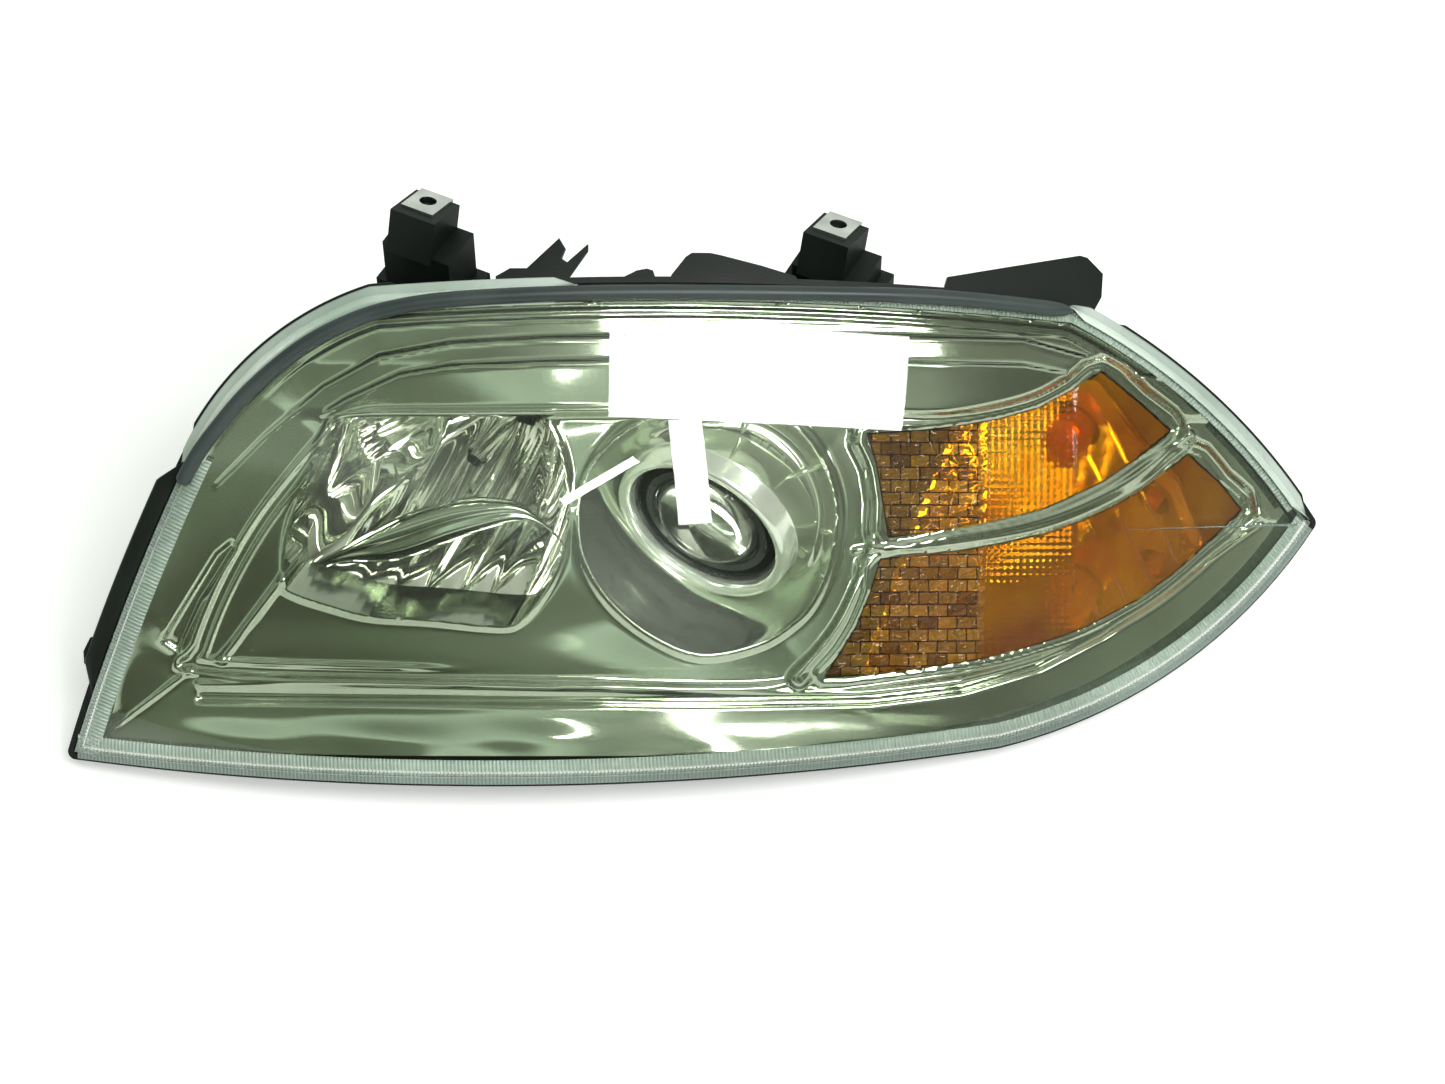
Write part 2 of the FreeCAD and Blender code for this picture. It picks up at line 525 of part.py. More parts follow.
# ---- Turn and marker bulbs in sockets that twist out of the housing's back -------------------------
for name in ("turn", "marker"):
    x, z = name + "_x", name + "_z"
    port, flange, thick = name + "_port - socket_gap", name + "_flange", name + "_flange_deep"
    reach = name + "_socket_long"
    glass_front = "outer_back - %s - %s_glass_long" % (reach, name)
    turned(name + "_socket", x, "outer_back - " + reach, z, [
        ("0", "0"), (port, "0"), (port, reach + " + ring_deep"), (flange, reach + " + ring_deep"),
        (flange, reach + " + ring_deep + " + thick), ("0", reach + " + ring_deep + " + thick)])
    turned(name + "_socket_ring", x, "outer_back", z, [
        (port, "0"), (flange + " - 1", "0"), (flange + " - 1", "ring_deep"), (port, "ring_deep")])
    glass = name + "_glass"
    turned(name + "_bulb", x, glass_front, z, [
        ("0", "0"), (glass + " * 0.6", "0"), (glass, glass + " * 0.5"), (glass, glass + "_long * 0.6"),
        (glass + " * 0.7", glass + "_long"), ("0", glass + "_long")])

# ---- Low-beam projector ---------------------------------------------------------------------------
turned("projector_shroud", "low_x", "shroud_face", "low_z", [
    ("shroud_front", "0"), ("shroud_back", "cone_deep"), ("shroud_back", "shroud_deep"),
    ("shroud_back - 3", "shroud_deep"), ("shroud_back - 3", "cone_deep"),
    ("shroud_bore + 3.6", "bevel_deep + bezel_wall"), ("shroud_bore", "bevel_deep + bezel_wall"),
    ("shroud_bore", "bevel_deep")])

glass_front = "(holder_ledge - glass_rim - glass_dome)"
ball_radius = "((glass_radius ^ 2 + glass_dome ^ 2) / (2 * glass_dome))"
ball = doc.addObject("Part::Sphere", "Ball")
ball.setExpression("Radius", bind(ball_radius))
place(ball, "low_x", "%s + %s" % (glass_front, ball_radius), "low_z")
slug = rod("low_x", glass_front, "low_z", "glass_radius", "glass_dome + glass_rim")
glass = doc.addObject("Part::Common", "Glass")
glass.Base = ball
glass.Tool = slug
node(glass, "projector_lens")

turned("lens_holder", "low_x", "holder_front", "low_z", [
    ("glass_radius + 0.1", "0"), ("holder_radius", "0"), ("holder_radius", "holder_back - holder_front"),
    ("holder_bore", "holder_back - holder_front"), ("holder_bore", "holder_ledge - holder_front"),
    ("glass_radius + 0.1", "holder_ledge - holder_front")])
shield = cut(rod("low_x", "holder_back", "low_z", "holder_radius", "shield_plate"),
             box("low_x - holder_bore * 0.9", "holder_back - 1", "low_z", "holder_bore * 1.8", "shield_plate + 2",
                 "holder_bore * 0.8"))
node(shield, "cutoff_shield")
turned("projector_bowl", "low_x", "holder_back + shield_plate", "low_z", [
    ("holder_radius - 3", "0"), ("bowl_flange", "0"), ("bowl_flange", "bowl_flange_deep"),
    ("bowl_radius", "bowl_flange_deep"), ("bowl_radius * 0.92", "bowl_long * 0.42"),
    ("bowl_radius * 0.7", "bowl_long * 0.72"), ("neck_radius - 4", "bowl_long * 0.88"),
    ("neck_radius", "bowl_long * 0.92"), ("neck_radius", "bowl_long"), ("neck_bore", "bowl_long"),
    ("neck_bore", "bowl_long * 0.86"), ("bowl_radius * 0.7 - bowl_shell", "bowl_long * 0.7"),
    ("bowl_radius * 0.92 - bowl_shell", "bowl_long * 0.4"), ("bowl_radius - bowl_shell", "bowl_flange_deep"),
    ("holder_radius - 3", "bowl_shell")])
neck_back = "(holder_back + shield_plate + bowl_long)"
turned("low_bulb_glass", "low_x", neck_back + " - barrel_deep - capsule_long", "low_z", [
    ("0", "0"), ("capsule_radius * 0.5", "0"), ("capsule_radius", "capsule_radius"),
    ("capsule_radius", "capsule_long"), ("0", "capsule_long")])
turned("low_bulb_base", "low_x", neck_back + " - barrel_deep", "low_z", [
    ("0", "0"), ("barrel_radius", "0"), ("barrel_radius", "barrel_deep"), ("base_flange", "barrel_deep"),
    ("base_flange", "barrel_deep + base_flange_deep"), ("base_radius", "barrel_deep + base_flange_deep"),
    ("base_radius", "barrel_deep + base_long"), ("0", "barrel_deep + base_long")])
turned("bulb_retainer", "low_x", neck_back, "low_z", [
    ("base_flange + retainer_gap", "0"), ("neck_radius", "0"), ("neck_radius", "retainer_deep"),
    ("base_flange + retainer_gap", "retainer_deep")])
igniter = doc.addObject("Part::Fillet", "Igniter")
igniter.Base = box("low_x - igniter_side / 2", neck_back + " + base_long", "low_z - igniter_side / 2",
                   "igniter_side", "igniter_long", "igniter_side")
doc.recompute()
igniter.Edges = [(index, 4.0, 4.0) for index in (2, 4, 6, 8)]
node(igniter, "low_bulb_igniter")

# ---- High-beam mirror, its bulb and visor -------------------------------------------------------------
focus, apex, mirror_shell = val("mirror_focus"), val("mirror_apex"), val("mirror_shell")


def paraboloid(apex_y, length=250.0):
    """A solid paraboloid that opens forwards from its apex."""
    steps = [length * (share / 8.0) ** 2 for share in range(9)]
    curve = Part.BSplineCurve()
    curve.interpolate([Vector(math.sqrt(4 * focus * step), apex_y - step, 0) for step in steps])
    edge = curve.toShape()
    far = Vector(0, apex_y - length, 0)
    edges = [edge, Part.makeLine(edge.Vertexes[-1].Point, far), Part.makeLine(far, Vector(0, apex_y, 0))]
    solid = Part.Face(Part.Wire(edges)).revolve(Vector(), Vector(0, 1, 0), 360)
    solid.translate(Vector(high_x, 0, high_z))
    return solid


mirror = along_y(round_rect(0), FRONT, apex).common(paraboloid(apex)).common(behind(val("mirror_depth")))
mirror = mirror.fuse(disc(high_x, apex - 10, high_z, val("mirror_neck"), val("plate_front") - apex + 10))
hollow = along_y(round_rect(-mirror_shell), FRONT, apex).common(paraboloid(apex - mirror_shell))
mirror = mirror.cut(hollow).cut(disc(high_x, apex - 30, high_z, val("high_bore"), 60))
feature(mirror, "high_beam_reflector")

high_seat = "plate_front + plate_thick"
high_tail = rod("high_x", high_seat + " - 20", "high_z", "high_barrel", "20")
high_disc = rod("high_x", high_seat, "high_z", "high_flange", "high_flange_deep")
high_plug = box("high_x - high_base_side / 2", high_seat + " + high_flange_deep", "high_z - high_base_side / 2",
                "high_base_side", "high_base_long", "high_base_side")
node(fuse(high_tail, high_disc, high_plug), "high_bulb_base")
turned("high_bulb_glass", "high_x", high_seat + " - 20 - high_glass_long", "high_z", [
    ("0", "0"), ("high_glass * 0.7", "0"), ("high_glass", "high_glass * 0.5"),
    ("high_glass", "high_glass_long"), ("0", "high_glass_long")])
visor_y = "visor_front"
visor = cut(box("high_x - mirror_wide / 2 + mirror_shell", visor_y, "high_z - visor_high * 2",
                "mirror_wide - mirror_shell * 2", "visor_wide", "visor_high"),
            box("high_x - mirror_wide / 2", visor_y + " + visor_sheet", "high_z - visor_high * 2 - visor_sheet",
                "mirror_wide", "visor_wide", "visor_high"))
node(visor, "high_beam_visor")

# ---- Aim frame, its pins and the aiming screw ------------------------------------------------------------
ear_bore = "pin_radius + pin_gap"
ears = [box(x, "plate_front", "pivot_z - ear_half", "ear_thick", "pivot_y - plate_front + ear_half",
            "ear_half * 2") for x in ("ear_left", "ear_right")]
plate = fuse(
    box("plate_left", "plate_front", "plate_low", "plate_right - plate_left", "plate_thick",
        "plate_high - plate_low"),
    rod("low_x", "plate_front", "low_z", "hub_radius", "plate_thick"),
    box("screw_x - pad_half", "plate_front", "pad_low", "pad_half * 2", "plate_thick",
        "plate_low - pad_low + 1"),
    box("plate_right - 1", "plate_front", "pivot_z - ear_half", "ear_right + ear_thick - plate_right + 1",
        "plate_thick", "ear_half * 2 - 3"),
    *ears)
frame = cut(plate,
            rod("low_x", "plate_front - 1", "low_z", "hub_bore", "plate_thick + 2"),
            rod("high_x", "plate_front - 1", "high_z", "high_bore", "plate_thick + 2"),
            rod("screw_x", "plate_front - 1", "screw_z", "nut_radius", "plate_thick + 2"),
            rod("ear_left - 1", "pivot_y", "pivot_z", ear_bore, "ear_thick + 2", "x"),
            rod("ear_right - 1", "pivot_y", "pivot_z", ear_bore, "ear_thick + 2", "x"))
node(frame, "aim_frame")
pins = doc.addObject("Part::Compound", "Pins")
pins.Links = [
    rod("ear_left - arm_gap - arm_thick - 1", "pivot_y", "pivot_z", "pin_radius", "pin_long", "x"),
    rod("ear_right - 1", "pivot_y", "pivot_z", "pin_radius", "pin_long", "x")]
node(pins, "pivot_pins")
node(cut(rod("screw_x", "nut_front", "screw_z", "nut_radius", "nut_long"),
         rod("screw_x", "nut_front - 1", "screw_z", "nut_bore", "nut_long + 2")), "adjuster_nut")
turned("adjuster_screw", "screw_x", "screw_front", "screw_z", [
    ("0", "0"), ("screw_radius", "0"),
    ("screw_radius", "inner_back - wall - end_play - collar_long - screw_front"),
    ("collar_radius", "inner_back - wall - end_play - collar_long - screw_front"),
    ("collar_radius", "inner_back - wall - end_play - screw_front"),
    ("screw_radius", "inner_back - wall - end_play - screw_front"),
    ("screw_radius", "inner_back + boss_long + end_play - screw_front"),
    ("knob_radius", "inner_back + boss_long + end_play - screw_front"),
    ("knob_radius", "inner_back + boss_long + end_play + knob_long - screw_front"),
    ("0", "inner_back + boss_long + end_play + knob_long - screw_front")])

# ---- Access caps with their gaskets -------------------------------------------------------------------------
for name, back, reach in (("low", "middle_back", "port_long"), ("high", "inner_back", "high_port_long")):
    x, z, port = name + "_x", name + "_z", name + "_port"
    skirt_bore = port + " + port_wall + cap_gap"
    end = "(%s + %s)" % (back, reach)
    turned(name + "_cap_gasket", x, end, z, [
        (port, "0"), (port + " + port_wall", "0"), (port + " + port_wall", "gasket"), (port, "gasket")])
    skirt_start = "(%s + gasket - cap_deep + cap_wall)" % end
    cover = turned("", x, skirt_start, z, [
        (skirt_bore, "0"), (skirt_bore + " + cap_wall", "0"), (skirt_bore + " + cap_wall", "cap_deep"),
        ("0", "cap_deep"), ("0", "cap_deep - cap_wall"), (skirt_bore, "cap_deep - cap_wall")])
    grip = box(x + " - %s * 0.8" % port, skirt_start + " + cap_deep - 1", z + " - grip_wide / 2",
               port + " * 1.6", "grip_high + 1", "grip_wide")
    node(fuse(cover, grip), name + "_beam_cap")

# ---- Ballast, its gasket and screws ---------------------------------------------------------------------------
ballast_low = "(-floor_low - ballast_pad - ballast_high)"
ballast_left = "low_x - ballast_wide / 2"
case = doc.addObject("Part::Fillet", "Case")
case.Base = box(ballast_left, "ballast_front", ballast_low, "ballast_wide", "ballast_long", "ballast_high")
doc.recompute()
case.Edges = [(index, SIZES["ballast_round"], SIZES["ballast_round"]) for index in (1, 3, 5, 7)]
flange_low = ballast_low + " + ballast_high - ballast_ear_thick"
flanges = [box(ballast_left + " - ballast_ear", "ballast_front + ballast_long * %s - 8" % share, flange_low,
               "ballast_wide + ballast_ear * 2", "16", "ballast_ear_thick") for share in ("0.25", "0.75")]
bores = [rod("low_x + %d * (ballast_wide + ballast_ear) / 2" % side,
             "ballast_front + %s * ballast_long" % share, flange_low + " - 1",
             "small_screw + screw_gap", "ballast_ear_thick + 2", "z")
         for side in (-1, 1) for share in ("0.25", "0.75")]
node(cut(fuse(case, *flanges), *bores), "ballast")
node(box(ballast_left + " + 6", "ballast_front + 6", "-floor_low - ballast_pad", "ballast_wide - 12",
         "ballast_long - 12", "ballast_pad"), "ballast_gasket")
fasteners = doc.addObject("Part::Compound", "Fasteners")
fasteners.Links = [
    fuse(rod(x, y, flange_low + " - small_head_deep", "small_head", "small_head_deep", "z"),
         rod(x, y, flange_low, "small_screw", "ballast_ear_thick + ballast_pad + wall", "z"))
    for x, y in [("low_x + %d * (ballast_wide + ballast_ear) / 2" % side,
                  "ballast_front + %s * ballast_long" % share)
                 for side in (-1, 1) for share in ("0.25", "0.75")]]
node(fasteners, "ballast_screws")

# ---- Clip nuts on the tabs, lower bush, connector and vent ------------------------------------------------------
clip_half, clip_long, clip_sheet = val("clip_wide") / 2, val("clip_long"), val("clip_sheet")
tab_thick = val("tab_thick")
for name in ("inboard", "outboard"):
    back = val("tab_long / 2 - tab_ahead")
    upper = brick(-clip_half, clip_half, back - clip_long, back + clip_sheet, 0, clip_sheet)
    lower = brick(-clip_half, clip_half, back - clip_long, back + clip_sheet, -tab_thick - clip_sheet,
                  -tab_thick)
    bend = brick(-clip_half, clip_half, back, back + clip_sheet, -tab_thick - clip_sheet, clip_sheet)
    barrel_low = -tab_thick - clip_sheet - val("nut_barrel_long")
    barrel = disc(0, 0, barrel_low, val("nut_barrel"), val("nut_barrel_long") + clip_sheet, Vector(0, 0, 1))
    clip = upper.multiFuse([lower, bend, barrel])
    clip = clip.cut(disc(0, 0, -tab_thick * 6, val("clip_bore"), tab_thick * 6 - tab_thick / 2,
                         Vector(0, 0, 1)))
    clip = clip.cut(disc(0, 0, -tab_thick / 2, val("tab_bore") - 0.5, tab_thick * 2, Vector(0, 0, 1)))
    clip.Placement = tab_frame(name).multiply(clip.Placement)
    feature(clip.removeSplitter(), "clip_nut_" + name)

node(cut(rod("bracket_x", "inner_back + bracket_long / 2", "-floor_low", "bush_radius", "bracket_thick", "z"),
         rod("bracket_x", "inner_back + bracket_long / 2", "-floor_low - 1", "bush_bore",
             "bracket_thick + 2", "z")), "lower_bush")
node(cut(box("plug_x - plug_wide / 2", "outer_back", "plug_z - plug_high / 2", "plug_wide", "plug_long",
             "plug_high"),
         box("plug_x - plug_wide / 2 + plug_wall", "outer_back + plug_back", "plug_z - plug_high / 2 + plug_wall",
             "plug_wide - plug_wall * 2", "plug_long", "plug_high - plug_wall * 2")), "harness_connector")
turned("vent_cap", "vent_x", "inner_back + 1", "vent_z", [
    ("vent_radius", "0"), ("vent_cap", "0"), ("vent_cap", "vent_long + 4"), ("0", "vent_long + 4"),
    ("0", "vent_long + 1"), ("vent_radius", "vent_long + 1")])

# ---- Check and write ------------------------------------------------------------------------------------------------
doc.recompute()
for obj in doc.Objects:
    if "Invalid" in obj.State or "Error" in obj.State:
        raise RuntimeError("%s (%s) failed: %s" % (obj.Label, obj.Name, obj.State))
os.makedirs("parts", exist_ok=True)
total = FreeCAD.BoundBox()
for piece in nodes:
    shape = piece.Shape
    if shape.isNull() or not shape.isValid() or not shape.Solids:
        raise RuntimeError(piece.Label + " has no valid solid")
    shape.exportStep(os.path.join("parts", piece.Label + ".step"))
    total.add(shape.BoundBox)
    print("%-22s %d solids  %9.0f mm3" % (piece.Label, len(shape.Solids), shape.Volume))
print("pieces", len(nodes), "box", [round(total.XMin, 1), round(total.YMin, 1), round(total.ZMin, 1)],
      [round(total.XMax, 1), round(total.YMax, 1), round(total.ZMax, 1)])
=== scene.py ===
import math
import bmesh
import bpy
import numpy as np
from mathutils import Matrix, Quaternion, Vector


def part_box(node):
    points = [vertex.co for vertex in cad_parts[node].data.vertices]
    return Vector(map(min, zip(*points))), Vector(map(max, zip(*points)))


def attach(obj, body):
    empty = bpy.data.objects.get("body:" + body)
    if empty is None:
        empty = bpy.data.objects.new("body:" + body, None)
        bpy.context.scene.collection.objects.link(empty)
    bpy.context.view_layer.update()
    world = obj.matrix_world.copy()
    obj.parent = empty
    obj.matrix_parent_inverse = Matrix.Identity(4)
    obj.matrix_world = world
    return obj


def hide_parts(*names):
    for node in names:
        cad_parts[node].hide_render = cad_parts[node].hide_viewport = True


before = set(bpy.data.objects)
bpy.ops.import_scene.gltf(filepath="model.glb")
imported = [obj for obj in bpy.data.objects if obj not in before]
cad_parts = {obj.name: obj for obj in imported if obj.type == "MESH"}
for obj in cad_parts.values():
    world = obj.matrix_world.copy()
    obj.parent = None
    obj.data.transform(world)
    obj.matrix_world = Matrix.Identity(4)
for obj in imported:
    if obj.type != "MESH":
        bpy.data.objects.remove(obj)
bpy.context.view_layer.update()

# --------------------------------------
# Clear lens: one injection-moulded polycarbonate shell. Its front is a barrel-shaped surface that
# leans back and turns outboard, and a skirt runs round the edge into the sealed housing groove.
# --------------------------------------
LENS_TURN, LENS_LEAN = math.radians(26.7), math.radians(50.0)
ACROSS = Vector((math.cos(LENS_TURN), math.sin(LENS_TURN), 0))
OUTWARD = Vector((math.sin(LENS_TURN) * math.cos(LENS_LEAN),
                  -math.cos(LENS_TURN) * math.cos(LENS_LEAN), math.sin(LENS_LEAN)))
UPWARD = OUTWARD.cross(ACROSS)
FACE_BASIS = np.array([ACROSS[:], UPWARD[:], OUTWARD[:]])
OUT = FACE_BASIS[2]
# the projector's glass lies inboard of, behind and below the lens's middle
glass_low, glass_high = [Vector(corner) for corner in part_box("projector_lens")]
GLASS_OFFSET = np.array([-0.0295, 0.03475, -0.0424])
LENS_MIDDLE = np.array((glass_low + glass_high)[:]) / 2 - GLASS_OFFSET
# the barrel's middle, across and up, and its two radii; then the wall, the depth of the skirt round
# the edge, the rounding of the shoulder, the step along the outline and the line the front closes on
BARREL_ACROSS, BARREL_UP, BARREL_LONG, BARREL_SHORT = -90.0, 60.0, 700.0, 450.0
LENS_WALL, SKIRT_DEPTH, SHOULDER, OUTLINE_STEP = 3.0, 14.0, 4.5, 2.2
SPINE_START, SPINE_END, SPINE_UP = -215, 190, 6.0

# six arcs in millimetres across and up the lens: low inboard corner, top, tip and back
LENS_ARCS = [((-330, -107), (-288, -9), (-262, 45)), ((-262, 45), (-221, 95), (-172, 121)),
             ((-172, 121), (0, 126), (177, 118)), ((177, 118), (243, 77), (308, 10)),
             ((308, 10), (246, -53), (140, -101)), ((140, -101), (-60, -117), (-330, -107))]


def barrel_height(across, up, depth):
    """Height out of the face plane of the surface that lies this deep behind the lens's front."""
    ring = BARREL_LONG - BARREL_SHORT + np.sqrt((BARREL_SHORT - depth) ** 2 - (up - BARREL_UP) ** 2)
    return np.sqrt(ring ** 2 - (across - BARREL_ACROSS) ** 2) - BARREL_LONG


def lens_spots(across, up, depth):
    """Points in metres, from millimetres across, up and behind the lens surface."""
    across, up, depth = np.broadcast_arrays(*[np.asarray(a, float) for a in (across, up, depth)])
    flat = np.stack([across, up, barrel_height(across, up, depth)], axis=-1)
    return LENS_MIDDLE + flat @ FACE_BASIS / 1000.0


def arc_points(start, middle, end, gap):
    """Evenly spaced points on the arc through three points, without its end."""
    (ax, ay), (bx, by), (cx, cy) = start, middle, end
    d = 2 * (ax * (by - cy) + bx * (cy - ay) + cx * (ay - by))
    ux = ((ax * ax + ay * ay) * (by - cy) + (bx * bx + by * by) * (cy - ay)
          + (cx * cx + cy * cy) * (ay - by)) / d
    uy = ((ax * ax + ay * ay) * (cx - bx) + (bx * bx + by * by) * (ax - cx)
          + (cx * cx + cy * cy) * (bx - ax)) / d
    radius = math.hypot(ax - ux, ay - uy)
    turn = [math.atan2(y - uy, x - ux) for x, y in (start, middle, end)]
    sweep = (turn[2] - turn[0] + math.pi) % (2 * math.pi) - math.pi
    count = max(2, int(abs(sweep) * radius / gap))
    return [(ux + radius * math.cos(turn[0] + sweep * i / count),
             uy + radius * math.sin(turn[0] + sweep * i / count)) for i in range(count)]


def line_distance(spots, across, up, closed=False):
    """Distance from grid points to a line of points; negative inside where the line is closed."""
    spots = np.asarray(spots, float)
    pairs = list(zip(spots, np.roll(spots, -1, axis=0)))
    if not closed:
        pairs = pairs[:-1]
    nearest = np.full(across.shape, 1e9)
    inside = np.zeros(across.shape, bool)
    for (ax, ay), (bx, by) in pairs:
        dx, dy = bx - ax, by - ay
        t = np.clip(((across - ax) * dx + (up - ay) * dy) / (dx * dx + dy * dy + 1e-12), 0, 1)
        nearest = np.minimum(nearest, (across - ax - t * dx) ** 2 + (up - ay - t * dy) ** 2)
        if closed and dy:
            inside ^= ((ay > up) != (by > up)) & (across < dx * (up - ay) / dy + ax)
    nearest = np.sqrt(nearest)
    return np.where(inside, -nearest, nearest) if closed else nearest


def inset(loop, distance):
    """A closed outline (clockwise) moved inwards. Its corners stay sharp, and the points that would
    cross over beside a corner go to the corner."""
    loop = np.asarray(loop, float)
    ahead, back = np.roll(loop, -1, axis=0) - loop, loop - np.roll(loop, 1, axis=0)
    ahead /= np.linalg.norm(ahead, axis=1)[:, None]
    back /= np.linalg.norm(back, axis=1)[:, None]
    side_a = np.stack([ahead[:, 1], -ahead[:, 0]], axis=1)
    side_b = np.stack([back[:, 1], -back[:, 0]], axis=1)
    mitre = side_a + side_b
    mitre /= np.maximum(np.sum(mitre * side_a, axis=1), 0.25)[:, None]
    moved = loop + mitre * distance
    corners = np.nonzero(np.sum(ahead * back, axis=1) < 0.9)[0]
    if distance > 1.5 and len(corners):
        reach = np.abs(line_distance(loop, moved[:, 0], moved[:, 1], closed=True))
        for index in np.nonzero(reach < distance - 0.05)[0]:
            steps = np.abs(corners - index)
            steps = np.minimum(steps, len(loop) - steps)
            if steps.min() < 9:
                moved[index] = moved[corners[np.argmin(steps)]]
    return moved


def new_piece(name, rings, closed=True):
    """A mesh piece skinned over rings of points in metres, each ring holding the same number of
    them, with its normals made to face outwards."""
    size = len(rings[0])
    last = size if closed else size - 1
    faces = []
    for start in range(0, (len(rings) - 1) * size, size):
        for i in range(last):
            j = (i + 1) % size
            faces.append((start + i, start + j, start + size + j, start + size + i))
    mesh = bpy.data.meshes.new(name)
    mesh.from_pydata([tuple(spot) for spot in np.concatenate(rings)], [], faces)
    bm = bmesh.new()
    bm.from_mesh(mesh)
    bmesh.ops.remove_doubles(bm, verts=bm.verts, dist=1e-6)
    bmesh.ops.recalc_face_normals(bm, faces=bm.faces)
    bm.to_mesh(mesh)
    bm.free()
    for face in mesh.polygons:
        face.use_smooth = True
    piece = bpy.data.objects.new(name, mesh)
    bpy.context.scene.collection.objects.link(piece)
    return piece


def new_material(name, **sockets):
    """A material whose Principled shader has these plain values."""
    material = bpy.data.materials.new(name)
    material.use_nodes = True
    shader = material.node_tree.nodes["Principled BSDF"]
    for socket, value in sockets.items():
        shader.inputs[socket.replace("_", " ")].default_value = value
    return material


lens_outline = [spot for arc in LENS_ARCS for spot in arc_points(*arc, OUTLINE_STEP)]


def spine(loop):
    """The middle line that the lens's rings close on."""
    loop = np.asarray(loop, float)
    across = np.clip(loop[:, 0], SPINE_START, SPINE_END)
    return np.stack([across, np.full(len(loop), SPINE_UP)], axis=1)


def lens_rings(shell):
    """One side of the lens: skirt, rounded shoulder and front, as rings (outline, depth)."""
    radius = SHOULDER - shell * 0.5
    rings = [(inset(lens_outline, shell), SKIRT_DEPTH)]
    for step in range(9):
        turn = math.radians(90 * step / 8)
        rings.append((inset(lens_outline, shell + radius * (1 - math.cos(turn))),
                      shell + radius * (1 - math.sin(turn))))
    last = rings[-1][0]
    middle = spine(last)
    for step in range(1, 25):
        share = step / 24
        rings.append((last + (middle - last) * share, shell))
    return rings


outer_rings, inner_rings = lens_rings(0.0), lens_rings(LENS_WALL)
all_rings = list(reversed(inner_rings)) + outer_rings
clear_lens = new_piece("clear_lens_shell", [lens_spots(*loop.T, depth) for loop, depth in all_rings])


def wire(tree, *links):
    """Joins sockets of nodes; each link is (node, output, node, input)."""
    for source, output, target, entry in links:
        tree.links.new(source.outputs[output], target.inputs[entry])


def math_node(tree, operation, value=None):
    """A math node whose second value may be a plain number."""
    node = tree.nodes.new("ShaderNodeMath")
    node.operation = operation
    if value is not None:
        node.inputs[1].default_value = value
    return node


def let_lamps_through(material, tint=(0.93, 0.94, 0.91)):
    """Shadow rays pass straight through this material, so that lamps reach what is behind it."""
    tree = material.node_tree
    shader, output = tree.nodes["Principled BSDF"], tree.nodes["Material Output"]
    path, mix = tree.nodes.new("ShaderNodeLightPath"), tree.nodes.new("ShaderNodeMixShader")
    clear = tree.nodes.new("ShaderNodeBsdfTransparent")
    clear.inputs["Color"].default_value = (*tint, 1)
    wire(tree, (path, "Is Shadow Ray", mix, "Fac"), (shader, "BSDF", mix, 1), (clear, "BSDF", mix, 2),
         (mix, "Shader", output, "Surface"))


def mottle_group():
    """Uneven tone: cloudy patches and fine specks, as a colour, a roughness and a height."""
    group = bpy.data.node_groups.new("mottle", "ShaderNodeTree")
    for name, kind, value in (("Color", "NodeSocketColor", (0.5, 0.5, 0.5, 1)),
                              ("Second Color", "NodeSocketColor", (0.4, 0.4, 0.4, 1)),
                              ("Patch Scale", "NodeSocketFloat", 20.0),
                              ("Speck Scale", "NodeSocketFloat", 900.0),
                              ("Speck Amount", "NodeSocketFloat", 0.3),
                              ("Roughness", "NodeSocketFloat", 0.4),
                              ("Roughness Spread", "NodeSocketFloat", 0.15)):
        group.interface.new_socket(name, in_out="INPUT", socket_type=kind).default_value = value
    for name, kind in (("Color", "NodeSocketColor"), ("Roughness", "NodeSocketFloat"),
                       ("Height", "NodeSocketFloat")):
        group.interface.new_socket(name, in_out="OUTPUT", socket_type=kind)
    nodes = group.nodes
    enter, leave = nodes.new("NodeGroupInput"), nodes.new("NodeGroupOutput")
    place = nodes.new("ShaderNodeTexCoord")
    patches, specks = nodes.new("ShaderNodeTexNoise"), nodes.new("ShaderNodeTexNoise")
    patches.inputs["Detail"].default_value, specks.inputs["Detail"].default_value = 4.0, 2.0
    blend = nodes.new("ShaderNodeMix")
    blend.data_type = "RGBA"
    spread = nodes.new("ShaderNodeMapRange")
    spread.inputs["From Min"].default_value, spread.inputs["From Max"].default_value = 0.35, 0.65
    centred = math_node(group, "SUBTRACT", 0.5)
    specked, rough = math_node(group, "MULTIPLY_ADD"), math_node(group, "MULTIPLY_ADD")
    specked.use_clamp = True
    wire(group, (place, "Object", patches, "Vector"), (enter, "Patch Scale", patches, "Scale"),
         (place, "Object", specks, "Vector"), (enter, "Speck Scale", specks, "Scale"),
         (patches, "Fac", spread, "Value"), (specks, "Fac", centred, 0),
         (centred, "Value", specked, 0), (enter, "Speck Amount", specked, 1),
         (spread, "Result", specked, 2), (specked, "Value", blend, "Factor"),
         (enter, "Color", blend, "A"), (enter, "Second Color", blend, "B"),
         (blend, "Result", leave, "Color"), (specked, "Value", rough, 0),
         (enter, "Roughness Spread", rough, 1), (enter, "Roughness", rough, 2),
         (rough, "Value", leave, "Roughness"), (specks, "Fac", leave, "Height"))
    return group


mottle = mottle_group()


